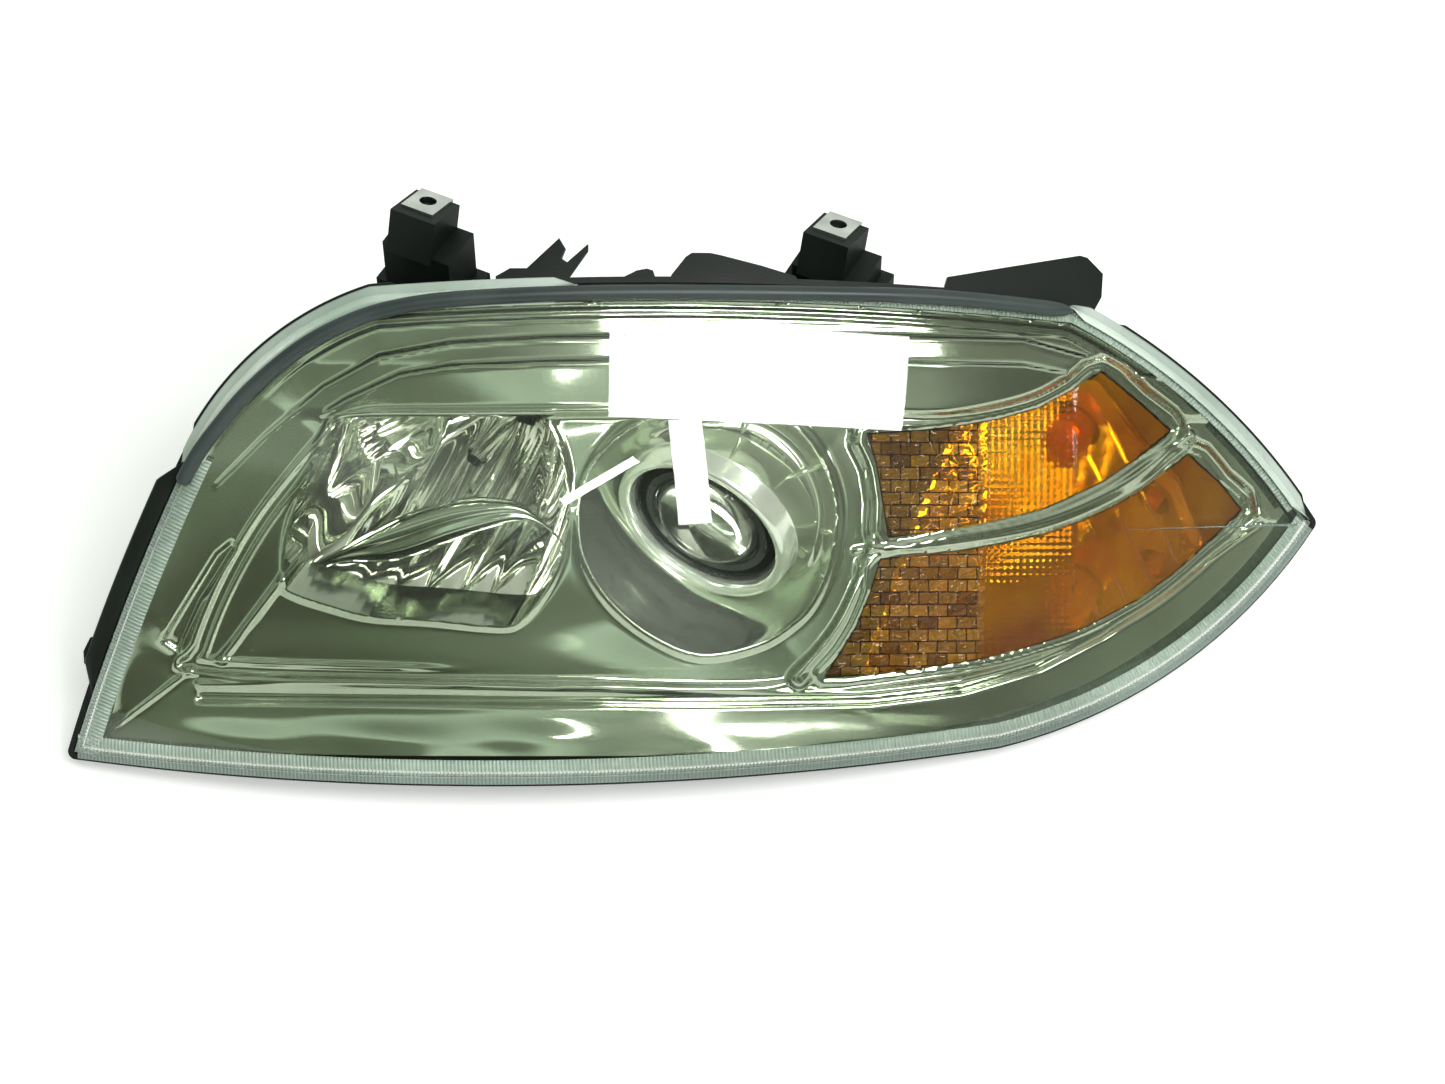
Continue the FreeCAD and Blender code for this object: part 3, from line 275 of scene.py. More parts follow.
def mottled(name, colour, second, patches, specks, roughness, relief=None, **sockets):
    """A material with an uneven tone: patches at one scale, specks at a scale and amount, roughness
    with its spread, and a relief of some strength and depth where it is asked for."""
    material = new_material(name, **sockets)
    tree = material.node_tree
    shader = tree.nodes["Principled BSDF"]
    tone = tree.nodes.new("ShaderNodeGroup")
    tone.node_tree = mottle
    for socket, value in zip(tone.inputs, ((*colour, 1), (*second, 1), patches, *specks, *roughness)):
        socket.default_value = value
    wire(tree, (tone, "Color", shader, "Base Color"), (tone, "Roughness", shader, "Roughness"))
    if relief:
        bump = tree.nodes.new("ShaderNodeBump")
        bump.inputs["Strength"].default_value, bump.inputs["Distance"].default_value = relief
        wire(tree, (tone, "Height", bump, "Height"), (bump, "Normal", shader, "Normal"))
    return material


clear_plastic = mottled("clear_polycarbonate", (0.955, 0.965, 0.93), (0.93, 0.945, 0.9), patches=9.0,
                        specks=(400.0, 0.1), roughness=(0.0, 0.012), IOR=1.5, Transmission_Weight=1.0,
                        Specular_IOR_Level=0.35)
let_lamps_through(clear_plastic)
clear_lens.data.materials.append(clear_plastic)
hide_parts("outer_lens")
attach(clear_lens, "lamp_body")

# --------------------------------------
# Housing: black glass-filled polypropylene with a fine moulded grain. Its CAD shape is right and
# gets its finish here, and so do the caps, the connector, the sockets and the high bulb's base.
# --------------------------------------
black_plastic = mottled("black_moulded_plastic", (0.005, 0.008, 0.006), (0.009, 0.013, 0.01),
                        patches=14.0, specks=(1400.0, 0.6), roughness=(0.38, 0.2),
                        relief=(0.35, 0.0003), Specular_IOR_Level=0.25)


def dress(material, *names):
    """Gives carried-over CAD nodes this finish in every material slot."""
    for name in names:
        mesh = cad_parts[name].data
        if not mesh.materials:
            mesh.materials.append(material)
        for index in range(len(mesh.materials)):
            mesh.materials[index] = material


dress(black_plastic, "housing", "low_beam_cap", "high_beam_cap", "harness_connector", "turn_socket",
      "marker_socket", "high_bulb_base")

# --------------------------------------
# Sealant and rubber parts: the butyl bead in the housing's groove, the gaskets of the caps and the
# ballast, the sockets' rings and the vent cap.
# --------------------------------------
black_rubber = mottled("black_rubber", (0.018, 0.024, 0.024), (0.032, 0.042, 0.04), patches=25.0,
                       specks=(1000.0, 0.5), roughness=(0.5, 0.2), relief=(0.2, 0.0002),
                       Specular_IOR_Level=0.3)
dress(black_rubber, "lens_sealant", "low_cap_gasket", "high_cap_gasket", "turn_socket_ring",
      "marker_socket_ring", "ballast_gasket", "vent_cap")

# --------------------------------------
# Works behind the optics: die-cast aim frame and ballast case, zinc-plated screws, pins, clips,
# retainer and bush, the white nylon nut and bulb base, and the grey igniter.
# --------------------------------------
cast_metal = mottled("cast_aluminium", (0.62, 0.63, 0.62), (0.45, 0.46, 0.45), patches=40.0,
                     specks=(700.0, 0.8), roughness=(0.42, 0.22), relief=(0.3, 0.0004), Metallic=1.0)
dress(cast_metal, "aim_frame", "ballast")
zinc_steel = mottled("zinc_plated_steel", (0.78, 0.79, 0.74), (0.6, 0.62, 0.6), patches=60.0,
                     specks=(900.0, 0.6), roughness=(0.2, 0.2), relief=(0.1, 0.0002), Metallic=1.0)
dress(zinc_steel, "bezel_screws", "ballast_screws", "clip_nut_inboard", "clip_nut_outboard",
      "lower_bush", "adjuster_screw", "pivot_pins", "bulb_retainer")
white_nylon = mottled("white_nylon", (0.8, 0.79, 0.74), (0.72, 0.71, 0.66), patches=30.0,
                      specks=(600.0, 0.4), roughness=(0.35, 0.15), relief=(0.1, 0.0002),
                      Subsurface_Weight=0.1, Subsurface_Scale=0.002)
dress(white_nylon, "adjuster_nut", "low_bulb_base")
grey_plastic = mottled("grey_plastic", (0.2, 0.21, 0.21), (0.14, 0.15, 0.15), patches=30.0,
                       specks=(900.0, 0.5), roughness=(0.4, 0.15), relief=(0.2, 0.0002))
dress(grey_plastic, "low_bulb_igniter")

# --------------------------------------
# Glass: clear quartz bulbs for both beams and painted amber bulbs for the turn and marker lamps,
# each sealed into its base, and the projector's thick pressed lens, held in its ring.
# --------------------------------------
quartz = mottled("bulb_quartz", (0.98, 0.98, 0.98), (0.94, 0.95, 0.95), patches=80.0,
                 specks=(900.0, 0.1), roughness=(0.0, 0.02), IOR=1.46, Transmission_Weight=1.0)
let_lamps_through(quartz)
dress(quartz, "low_bulb_glass", "high_bulb_glass")
bulb_amber = mottled("bulb_amber", (0.7, 0.24, 0.02), (0.55, 0.17, 0.01), patches=80.0,
                     specks=(900.0, 0.1), roughness=(0.05, 0.05), IOR=1.46, Transmission_Weight=0.7)
dress(bulb_amber, "turn_bulb", "marker_bulb")
optic_glass = mottled("optic_glass", (0.96, 0.98, 0.96), (0.93, 0.96, 0.93), patches=30.0,
                      specks=(900.0, 0.1), roughness=(0.0, 0.01), IOR=1.52, Transmission_Weight=1.0,
                      Specular_IOR_Level=0.05)
let_lamps_through(optic_glass)
dress(optic_glass, "projector_lens")

# --------------------------------------
# Rubber weather seal: an extruded round tube bonded along the lens's top edge. It closes the gap
# to the body above the lamp.
# --------------------------------------
SEAL_LINE = [(-266, 28), (-258, 42), (-248, 55), (-231, 74), (-206, 94.5), (-181, 107.5),
             (-157, 114.5), (-123, 118.5), (-59, 121), (38, 121.5), (112, 120.5), (176, 115.5)]
SEAL_RADIUS, SEAL_DEPTH = 3.9, -2.6


def smooth_line(spots, steps, closed=False):
    """A smooth curve through these points, with this many steps between neighbours."""
    spots = np.asarray(spots, float)
    count = len(spots)
    take = (lambda i: spots[i % count]) if closed else (lambda i: spots[min(max(i, 0), count - 1)])
    found = []
    for index in range(count if closed else count - 1):
        a, b, c, d = take(index - 1), take(index), take(index + 1), take(index + 2)
        for step in range(steps):
            t = step / steps
            found.append(0.5 * (2 * b + (c - a) * t + (2 * a - 5 * b + 4 * c - d) * t * t
                                + (3 * b - a - 3 * c + d) * t ** 3))
    if not closed:
        found.append(spots[-1])
    return np.array(found)


def swept_tube(name, path, radius, around=16):
    """A round tube along a path of points in metres, with its ends rounded off."""
    path = np.asarray(path)
    count = len(path)
    way = np.gradient(path, axis=0)
    way /= np.linalg.norm(way, axis=1)[:, None]
    side = np.cross(way, OUT)
    side /= np.linalg.norm(side, axis=1)[:, None]
    top = np.cross(side, way)
    size = np.full(count, radius)
    for index, share in enumerate((0.05, 0.6, 0.88)):
        size[index] *= share
        size[-1 - index] *= share
    angles = [2 * math.pi * turn / around for turn in range(around)]
    rings = [[path[i] + size[i] * (side[i] * math.cos(angle) + top[i] * math.sin(angle))
              for angle in angles] for i in range(count)]
    return new_piece(name, rings)


seal_line = smooth_line(SEAL_LINE, 12)
seal_spots = lens_spots(*seal_line.T, SEAL_DEPTH)
weather_seal = swept_tube("weather_seal_tube", seal_spots, SEAL_RADIUS / 1000)
seal_rubber = mottled("seal_rubber", (0.03, 0.042, 0.042), (0.045, 0.06, 0.058), patches=25.0,
                      specks=(900.0, 0.4), roughness=(0.36, 0.12), relief=(0.15, 0.0002),
                      Specular_IOR_Level=0.45)
weather_seal.data.materials.append(seal_rubber)
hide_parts("top_seal")
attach(weather_seal, "lamp_body")

# --------------------------------------
# Lens flange: the lens's edge turned out over the housing's rim, with a painted reflection, a light
# tone, where the lens meets the body, the rim's black lips showing beside it and fine ribs inside it.
# --------------------------------------
# painted reflection: a light tone on the clear flange that stands for the light it reflects
flange_reflection_paint = mottled("flange_painted_reflection", (0.58, 0.66, 0.6), (0.34, 0.43, 0.36), patches=12.0,
                  specks=(300.0, 0.15), roughness=(0.2, 0.15), Specular_IOR_Level=0.5, Coat_Weight=0.6,
                  Coat_Roughness=0.08)
STRIP_STEP = 2.0


def outline_share(start, end, gap):
    """The lens's outline between two points, with the way inwards and the run at each point."""
    loop = np.asarray(lens_outline)
    inward = inset(lens_outline, 1.0) - loop
    near = [int(np.argmin(np.hypot(loop[:, 0] - x, loop[:, 1] - y))) for x, y in (start, end)]
    count = (near[1] - near[0]) % len(loop) + 1
    picked = [(near[0] + i) % len(loop) for i in range(count)]
    line, way = loop[picked], inward[picked]
    run = np.concatenate([[0], np.cumsum(np.hypot(*np.diff(line, axis=0).T))])
    at = np.linspace(0, run[-1], max(2, int(run[-1] / gap)))
    return (np.stack([np.interp(at, run, line[:, k]) for k in (0, 1)], axis=1),
            np.stack([np.interp(at, run, way[:, k]) for k in (0, 1)], axis=1), at)


def edge_strip(name, start, end, profile, taper=12.0):
    """A strip along the lens's edge: its profile, of (distance inwards, depth), fades at its ends."""
    line, way, run = outline_share(start, end, STRIP_STEP)
    fade = np.clip(np.minimum(run, run[-1] - run) / taper, 0.02, 1)[:, None]
    rings = [lens_spots(*(line + way * inwards * fade).T, depth) for inwards, depth in profile]
    return new_piece(name, rings, closed=False)


FLANGE_OVER = [(-4.2, 8.0), (-4.3, 6.9), (-3.6, 6.3), (-1.2, 5.2), (0.4, 3.1), (2.0, 1.0),
               (4.5, -0.2), (9.5, -0.2)]
shoulder_flange = edge_strip("shoulder_flange", (-268, 34), (-70, 125), FLANGE_OVER)
FLANGE_TIP = [(-4.2, 8.0), (-4.3, 6.9), (-3.6, 6.2), (-1.2, 5.0), (0.4, 3.0), (2.0, 1.2),
              (4.2, 0.0), (4.4, 0.3)]
tip_flange = edge_strip("tip_flange", (173, 117), (306, 12), FLANGE_TIP)
for strip in (shoulder_flange, tip_flange):
    strip.data.materials.append(flange_reflection_paint)
    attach(strip, "lamp_body")

# the housing's black rim: a wide lip on the inboard side and a narrow one over the shoulder and tip
LIP = [(-4.0, 9.5), (-9.6, 9.2), (-10.2, 7.2), (-9.2, 5.6), (-4.5, 5.2), (-1.0, 6.0)]
inboard_lip = edge_strip("inboard_lip", (-316, -78), (-264, 42), LIP, taper=16.0)
RIM_LINE = [(-3.9, 10.0), (-5.6, 9.4), (-5.7, 7.6), (-4.9, 6.8), (-3.8, 7.2)]
rim_line = edge_strip("rim_line", (-262, 46), (-150, 122), RIM_LINE)
tip_line = edge_strip("tip_line", (190, 108), (306, 12), RIM_LINE)
for strip in (inboard_lip, rim_line, tip_line):
    strip.data.materials.append(black_plastic)
    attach(strip, "lamp_body")

RIB_PITCH, RIB_DEPTH, RIB_HEIGHT = 1.9, 4.6, 1.1


def ribbed_band(name, start, end, low, high):
    """Fine ribs moulded across the inside of the lens's edge."""
    line, way, run = outline_share(start, end, RIB_PITCH / 6)
    rib = 0.5 + 0.5 * np.cos(2 * math.pi * run / RIB_PITCH)
    section = ((low, 0.0), (low + 0.4, 1.0), (high - 0.6, 1.0), (high, 0.0))
    rings = [lens_spots(*(line + way * inwards).T, RIB_DEPTH - RIB_HEIGHT * lift * rib)
             for inwards, lift in section]
    return new_piece(name, rings, closed=False)


rib_plastic = mottled("ribbed_flange", (0.27, 0.34, 0.3), (0.17, 0.22, 0.19), patches=9.0,
                      specks=(300.0, 0.2), roughness=(0.18, 0.12), Specular_IOR_Level=0.6,
                      Coat_Weight=0.5)
for name, start, end, low, high in (("ribs_inboard", (-329, -104), (-262, 45), 1.5, 12.5),
                                    ("ribs_low", (306, 8), (-328, -107), 2.6, 10.0),
                                    ("ribs_edge", (306, 8), (-328, -107), -2.9, 2.4),
                                    ("ribs_top", (-262, 45), (300, 20), 3.4, 8.2)):
    band = ribbed_band(name, start, end, low, high)
    band.data.materials.append(rib_plastic)
    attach(band, "lamp_body")

# --------------------------------------
# Bezel: one injection-moulded dish, vacuum-plated under a smoked lacquer. It has a sill along the
# bottom, stepped panels along the top, a well for the two beams and windows for the amber panes.
# --------------------------------------
WELL = [(-266, -64), (-264, -52), (-251, -23), (-233, 7), (-215, 30), (-197, 50), (-184, 61),
        (-120, 62), (-36, 63), (20, 66), (62, 64), (71, 50), (76, 31), (78, 11), (75, -9),
        (68, -26), (59, -43), (48, -58), (36, -68), (-11, -71), (-160, -68)]
HIGH_POCKET = [(-217, -20), (-213, -25), (-195, -31), (-175, -36), (-145, -38), (-114, -41),
               (-101, -39), (-88, -24), (-80, -7), (-76, 13), (-77, 29), (-80, 45), (-86, 58),
               (-92, 61), (-184, 61), (-192, 57), (-200, 41), (-211, 16), (-216, -1)]
LOW_POCKET = [(-71, 9), (-69, 26), (-60, 43), (-41, 58), (-16, 65), (9, 67), (25, 64), (41, 52),
              (51, 36), (56, 16), (53, -9), (45, -29), (34, -41), (17, -51), (-11, -56), (-36, -46),
              (-56, -29), (-68, -9)]
AMBER_HIGH = [(71, 54), (100, 56), (116, 58), (138, 62), (159, 68), (176, 77), (192, 87), (212, 72),
              (230, 57), (212, 43), (192, 30), (163, 17), (140, 11), (119, 7), (82, 2), (79, 20),
              (76, 38)]
AMBER_LOW = [(78, -8), (117, -4), (140, 0), (163, 5), (181, 11), (197, 18), (214, 27), (239, 46),
             (257, 31), (270, 17), (249, -2), (231, -17), (212, -30), (184, -44), (160, -52),
             (132, -59), (89, -65), (50, -68), (58, -55), (66, -42), (73, -25)]
SLOT = [(-281, -49), (-273, -55), (-260, -29), (-241, -3), (-243, 2), (-252, -5)]
SILL_GROOVE = [(-262, -78), (-160, -78), (-61, -79), (-11, -80), (74, -79), (120, -74), (160, -63),
               (193, -47), (239, -14), (277, 10)]
SILL_BEAD = [(-262, -71), (-160, -70), (-61, -71), (-11, -74), (40, -75), (74, -74), (120, -69),
             (160, -57), (193, -41), (239, -8), (272, 16)]
BROW_LINES = [[(-250, 28), (-225, 52), (-196, 76), (-168, 91), (-133, 97), (-89, 99.5), (-11, 101),
               (63, 101.5), (150, 101), (186, 92), (232, 54), (282, 12)],
              [(-205, 58), (-185, 70), (-158, 82), (-133, 86), (-80, 88), (-11, 89), (63, 89), (150, 88),
               (176, 84)]]
BRIGHT_BAR = [(66, -4), (100, -1), (140, 5), (165, 11), (190, 21), (215, 35), (237, 53)]
BEAM_STRIP = [(66, 62), (73, 50), (78, 31), (79, 12), (76, -9), (69, -25), (61, -41), (50, -56),
              (38, -68)]
MITRE = [(-322, -104), (-266, -63)]
WELL_RIDGE = [(-219, -19), (-251, -59)]
GRID, BEZEL_GAP = 1.2, 8.0
EDGE_DEPTH, DISH, WELL_DEPTH, STRIP_DEPTH, PANE_FIELD = 9.5, 10.5, 20.6, 15.5, 16.5


def ease(value, low, high):
    """0 below low, 1 above high and a smooth rise between."""
    t = np.clip((value - low) / (high - low), 0, 1)
    return t * t * (3 - 2 * t)


def ridge(gap, wide):
    """1 on a line, falling off on both sides of it."""
    return np.exp(-(gap / wide) ** 2)


def bezel_depth(across, up):
    """How deep the bezel's surface lies behind the lens's front at each point."""
    def gap_to(line):
        return line_distance(line, across, up)

    def gap_round(loop, steps=4):
        return line_distance(smooth_line(loop, steps, closed=True), across, up, closed=True)

    edge = -line_distance(inset(lens_outline, BEZEL_GAP)[::3], across, up, closed=True)
    well = gap_round(WELL)
    share = np.clip(edge / np.maximum(edge + np.maximum(well, 0), 1e-6), 0, 1)
    depth = EDGE_DEPTH + DISH * share ** 0.85
    # the panels over the beams: three facets, each at its own lean, parted by small steps
    above = up - np.interp(across, *np.array(BROW_LINES[0]).T)
    panel_step = up - np.interp(across, *np.array(BROW_LINES[1]).T)
    top = ease(up, 60, 66) * ease(across, -230, -190)
    depth = depth - top * 1.6 * ease(-above, -0.8, 0.8) - top * 2.4 * ease(-panel_step, -1.0, 1.0)
    depth = depth + 0.15 * np.maximum(up - 88, 0) * top
    depth = depth - 0.9 * ridge(gap_to(BROW_LINES[0]), 1.1)
    # two fine grooves along the top edge
    grooves = np.sin(2 * math.pi * (edge - 1.0) / 4.4)
    depth = depth + 0.55 * grooves * ease(up, 60, 95) * ease(-edge, -9.5, -8.0)
    depth = depth - 0.9 * top * ridge(panel_step, 1.2)
    # the rolled edge of the well, its wall and its floor, which falls away towards the beams
    depth = depth - 1.8 * ridge(well - 1.4, 1.7)
    floor = WELL_DEPTH + 2.6 * ease(-well, 0, 34)
    inside = ease(-well, -0.6, 2.6)
    depth = depth * (1 - inside) + floor * inside
    depth = depth - 1.6 * ridge(well + 6.0, 1.2) * ease(-across, 120, 170)
    depth = depth - 2.2 * ridge(gap_to(WELL_RIDGE), 2.2)
    # rolled lips round the two beams
    for pocket, wide in ((HIGH_POCKET, 2.2), (LOW_POCKET, 2.4)):
        depth = depth - 1.9 * ridge(gap_round(pocket) - 0.6, wide)
    # the chrome strip between the low beam and the amber panes
    strip = gap_to(smooth_line(BEAM_STRIP, 4))
    near = ease(-strip, -6.5, -3.5)
    depth = depth * (1 - near) + STRIP_DEPTH * near
    depth = depth - 2.0 * np.sqrt(np.clip(1 - (strip / 5.0) ** 2, 0, 1)) + 0.8 * ridge(strip, 0.8)
    # sill: a bead and a groove along its top, and a gentle crown
    depth = depth - 2.2 * ridge(gap_to(SILL_BEAD), 2.6)
    depth = depth + 3.0 * ridge(gap_to(SILL_GROOVE), 1.7)
    climb = 40 * ease(across, 120, 280)
    crown = 1.2 * ease(-up, 84 - climb, 100 - climb)
    depth = depth - crown * (1 + 0.35 * np.sin(across / 37.0) + 0.2 * np.sin(across / 13.0 + up / 9.0))
    # side wall: a slot and the bright mitre at the low corner
    slot = line_distance(SLOT, across, up, closed=True)
    depth = depth + 2.6 * ease(-slot, -1.2, 1.6) - 0.7 * ridge(slot, 1.0)
    depth = depth - 1.3 * ridge(gap_to(MITRE), 1.3)
    # a flat field round the amber panes, with a raised frame and the bright bar between them
    for pane in (AMBER_HIGH, AMBER_LOW):
        pane_gap = gap_round(pane, 3)
        flat = ease(-pane_gap, -9, -3)
        depth = depth * (1 - flat) + PANE_FIELD * flat
        depth = depth - 1.3 * ridge(pane_gap - 2.0, 1.0)
    bar = gap_to(smooth_line(BRIGHT_BAR, 4))
    wide = np.interp(across, [66, 150, 237], [1.5, 4.0, 6.5])
    return depth - 2.4 * ease(-bar, -wide, -wide * 0.4) + 0.7 * ridge(bar, 0.9)


def cut_sheet(name, field, across, up, depth, wall_ways, gap):
    """The part of a grid surface where the field is negative, its edges drawn onto the field's zero
    line, and a wall run back from each edge by wall_ways (metres)."""
    slope_up, slope_across = np.gradient(field, gap)
    steep = np.maximum(slope_up ** 2 + slope_across ** 2, 0.25)
    near = (field > -0.45 * gap) & (field < 1.2 * gap)
    move = np.where(near, field / steep, 0)
    across, up = across - slope_across * move, up - slope_up * move
    spots = lens_spots(across, up, depth(across, up))
    columns = field.shape[1]
    keep = field < 0.75 * gap
    whole = keep[:-1, :-1] & keep[1:, :-1] & keep[:-1, 1:] & keep[1:, 1:]
    rows_at, columns_at = np.nonzero(whole)
    corner = rows_at * columns + columns_at
    faces = np.stack([corner, corner + 1, corner + columns + 1, corner + columns], axis=1)
    used, faces = np.unique(faces, return_inverse=True)
    spots, faces = spots.reshape(-1, 3)[used], faces.reshape(-1, 4)
    # an edge of the sheet belongs to one face only, so nothing runs along it the other way
    sides = [tuple(side) for side in np.stack([faces, np.roll(faces, -1, axis=1)], axis=-1)
             .reshape(-1, 2).tolist()]
    known = set(sides)
    edges = [(a, b) for a, b in sides if (b, a) not in known]
    rim = np.unique(edges)
    flat = (spots[rim] - LENS_MIDDLE) @ FACE_BASIS.T * 1000
    back = spots[rim] + wall_ways(flat[:, 0], flat[:, 1])
    twin = dict(zip(rim.tolist(), range(len(spots), len(spots) + len(rim))))
    walls = [(b, a, twin[a], twin[b]) for a, b in edges]
    mesh = bpy.data.meshes.new(name)
    mesh.from_pydata(np.concatenate([spots, back]).tolist(), [], faces.tolist() + walls)
    for face in mesh.polygons:
        face.use_smooth = True
    creases = set(edges) | {(b, a) for a, b in edges}
    for edge in mesh.edges:
        edge.use_edge_sharp = tuple(edge.vertices) in creases
    piece = bpy.data.objects.new(name, mesh)
    bpy.context.scene.collection.objects.link(piece)
    return piece


grid_across, grid_up = np.meshgrid(np.arange(-324, 304, GRID), np.arange(-106, 122, GRID))
field = line_distance(inset(lens_outline, BEZEL_GAP), grid_across, grid_up, closed=True)
openings = [smooth_line(loop, 4, closed=True) for loop in (HIGH_POCKET, LOW_POCKET)]
openings += [np.array(AMBER_HIGH), np.array(AMBER_LOW)]
for loop in openings:
    field = np.maximum(field, -line_distance(loop, grid_across, grid_up, closed=True))
# how far the sheet's edges turn back: plain ones, the low pocket's and the high pocket's
EDGE_WALL, LOW_POCKET_WALL, HIGH_POCKET_WALL, POCKET_NEAR = 0.0035, 0.006, 0.022, 4.0


def plain_wall(across, up):
    """An edge's wall that runs straight in."""
    return np.tile(OUT * -EDGE_WALL, (len(across), 1))


def bezel_wall(across, up):
    """Which way an edge's wall runs: back along the beam in the pockets, else straight in."""
    reach = np.array([np.abs(line_distance(loop, across, up, closed=True)) for loop in openings])
    walls = plain_wall(across, up)
    walls[reach[0] < POCKET_NEAR] = (0, HIGH_POCKET_WALL, 0)
    walls[reach[1] < POCKET_NEAR] = -OUT * LOW_POCKET_WALL
    return walls


chrome = mottled("smoked_chrome", (0.59, 0.65, 0.54), (0.5, 0.56, 0.45), patches=12.0,
                 specks=(500.0, 0.15), roughness=(0.05, 0.05), Metallic=0.975)
plated_bezel = cut_sheet("plated_bezel", field, grid_across, grid_up, bezel_depth, bezel_wall, GRID)
plated_bezel.data.materials.append(chrome)
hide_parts("bezel")
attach(plated_bezel, "lamp_body")

# --------------------------------------
# Low-beam shroud: a plated bowl that runs from the bezel's round opening down to a bright ring round
# the projector, with four short ribs on its outboard side and a black cone inside the ring.
# --------------------------------------
shroud_low, shroud_high = [Vector(corner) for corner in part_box("projector_shroud")]
BEAM_X, BEAM_Z = (shroud_low.x + shroud_high.x) / 2, (shroud_low.z + shroud_high.z) / 2
RING_FACE, RING_RADIUS, RING_BORE = shroud_low.y, 0.0466, 0.0407
BOWL_FOOT, BOWL_BACK, BOWL_LIP_DEPTH, BOWL_BEND, BOWL_BEND_DEPTH = 0.0488, 0.011, 22.6, 0.22, 47.0
AROUND, BOWL_STEPS, SHROUD_RIB, RIB_LIFT = 160, 22, 0.0019, 0.0006


def face_spots(points):
    """Millimetres across, up and out of the face plane, from points in metres."""
    return (np.asarray(points) - LENS_MIDDLE) @ FACE_BASIS.T * 1000


def beam_ring(radius, back):
    """A circle round the beam's axis, this far back, in metres."""
    turn = np.linspace(0, 2 * math.pi, AROUND, endpoint=False)
    across, high = BEAM_X + radius * np.cos(turn), BEAM_Z + radius * np.sin(turn)
    return np.stack([across, np.full(AROUND, back), high], axis=1)


def outline_towards(loop, middle_spot, ways):
    """Where rays from a middle point, at these angles, meet an outline round it."""
    loop = np.asarray(loop, float) - middle_spot
    angle, reach = np.arctan2(loop[:, 1], loop[:, 0]), np.hypot(loop[:, 0], loop[:, 1])
    order = np.argsort(angle)
    radius = np.interp(ways, angle[order], reach[order], period=2 * math.pi)
    return middle_spot + np.stack([radius * np.cos(ways), radius * np.sin(ways)], axis=1)


ring_edge = beam_ring(BOWL_FOOT, RING_FACE + BOWL_BACK)
ring_face_spots = face_spots(ring_edge)[:, :2]
ring_middle = ring_face_spots.mean(axis=0)
ways = np.arctan2(*(ring_face_spots - ring_middle).T[::-1])
bowl_lip = outline_towards(smooth_line(LOW_POCKET, 6, closed=True), ring_middle, ways)
bowl_top = lens_spots(*bowl_lip.T, BOWL_LIP_DEPTH)
bowl_turn = lens_spots(*(bowl_lip + (ring_face_spots - bowl_lip) * BOWL_BEND).T, BOWL_BEND_DEPTH)


def bowl_spots(share):
    """The bowl's section: steep under its lip, then flat towards the ring."""
    return ((1 - share) ** 2 * bowl_top + 2 * share * (1 - share) * bowl_turn + share ** 2 * ring_edge)


rings = [bowl_top + OUT * -0.001 + (bowl_top - bowl_spots(0.1)) * 0.02]
rings += [bowl_spots(step / BOWL_STEPS) for step in range(BOWL_STEPS + 1)]
shroud_bowl = new_piece("shroud_bowl", rings)
pieces = [shroud_bowl]
rings = [beam_ring(radius, RING_FACE + back) for radius, back in (
    (BOWL_FOOT, 0.0112), (0.0478, 0.0100), (0.0474, 0.0006), (RING_RADIUS, -0.0006), (0.0452, -0.0018),
    (0.0432, -0.0016), (0.0416, -0.0004), (RING_BORE, 0.0014), (0.0404, 0.0052))]
shroud_ring = new_piece("shroud_ring", rings)
ring_plating = mottled("ring_plating", (0.9, 0.95, 0.88), (0.82, 0.88, 0.8), patches=12.0,
                       specks=(500.0, 0.15), roughness=(0.12, 0.06), Metallic=0.8)
shroud_ring.data.materials.append(ring_plating)
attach(shroud_ring, "lamp_body")
for number, (way, start, end) in enumerate(((68, 0.06, 0.62), (24, 0.05, 0.72), (-9, 0.03, 0.5),
                                            (-29, 0.03, 0.42))):
    pick = int(np.argmin(np.abs(np.angle(np.exp(1j * (ways - math.radians(way)))))))
    path = [bowl_spots(share)[pick] + OUT * RIB_LIFT for share in np.linspace(start, end, 14)]
    pieces.append(swept_tube("shroud_rib_%d" % (number + 1), path, SHROUD_RIB, around=12))
shroud_plating = mottled("shroud_plating", (0.74, 0.8, 0.68), (0.64, 0.71, 0.58), patches=12.0,
                         specks=(500.0, 0.15), roughness=(0.06, 0.05), Metallic=0.92)
for piece in pieces:
    piece.data.materials.append(shroud_plating)
    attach(piece, "lamp_body")
# satin black for the lens holder and the cone, and painted shade on the projector's bowl and cutoff
# shield
satin_black_and_painted_shade = mottled("satin_black_and_painted_shade", (0.008, 0.009, 0.009), (0.016, 0.018, 0.017), patches=30.0,
                      specks=(900.0, 0.3), roughness=(0.22, 0.15), Specular_IOR_Level=0.5)
rings = [beam_ring(radius, RING_FACE + back) for radius, back in (
    (0.0404, 0.0048), (0.0398, 0.0056), (0.039, 0.0062), (0.0388, 0.0082), (0.0392, 0.0088))]
shroud_cone = new_piece("shroud_cone", rings)
shroud_cone.data.materials.append(satin_black_and_painted_shade)
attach(shroud_cone, "lamp_body")
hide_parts("projector_shroud")
# painted shade: the projector's bowl and cutoff shield are painted black so the projector reads dark
dress(satin_black_and_painted_shade, "lens_holder", "cutoff_shield", "projector_bowl")

# --------------------------------------
# High-beam reflector: a deep plated scoop with upright flutes, moulded in one piece. It tilts with
# the projector, so it stays clear of the bezel's opening.
# --------------------------------------
mirror_low, mirror_high = [Vector(corner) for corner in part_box("high_beam_reflector")]
HIGH_X, HIGH_Z = (mirror_low.x + mirror_high.x) / 2, (mirror_low.z + mirror_high.z) / 2
MIRROR_APEX = mirror_high.y - 0.004
MIRROR_AROUND, MIRROR_RINGS, MIRROR_RIM_DEPTH, BULB_HOLE = 200, 44, 41.0, 0.11
FLUTE, FLUTE_SWELL, FLUTE_TILT, POCKET_REACH = 0.0155, 0.0022, 0.0022, 5.0
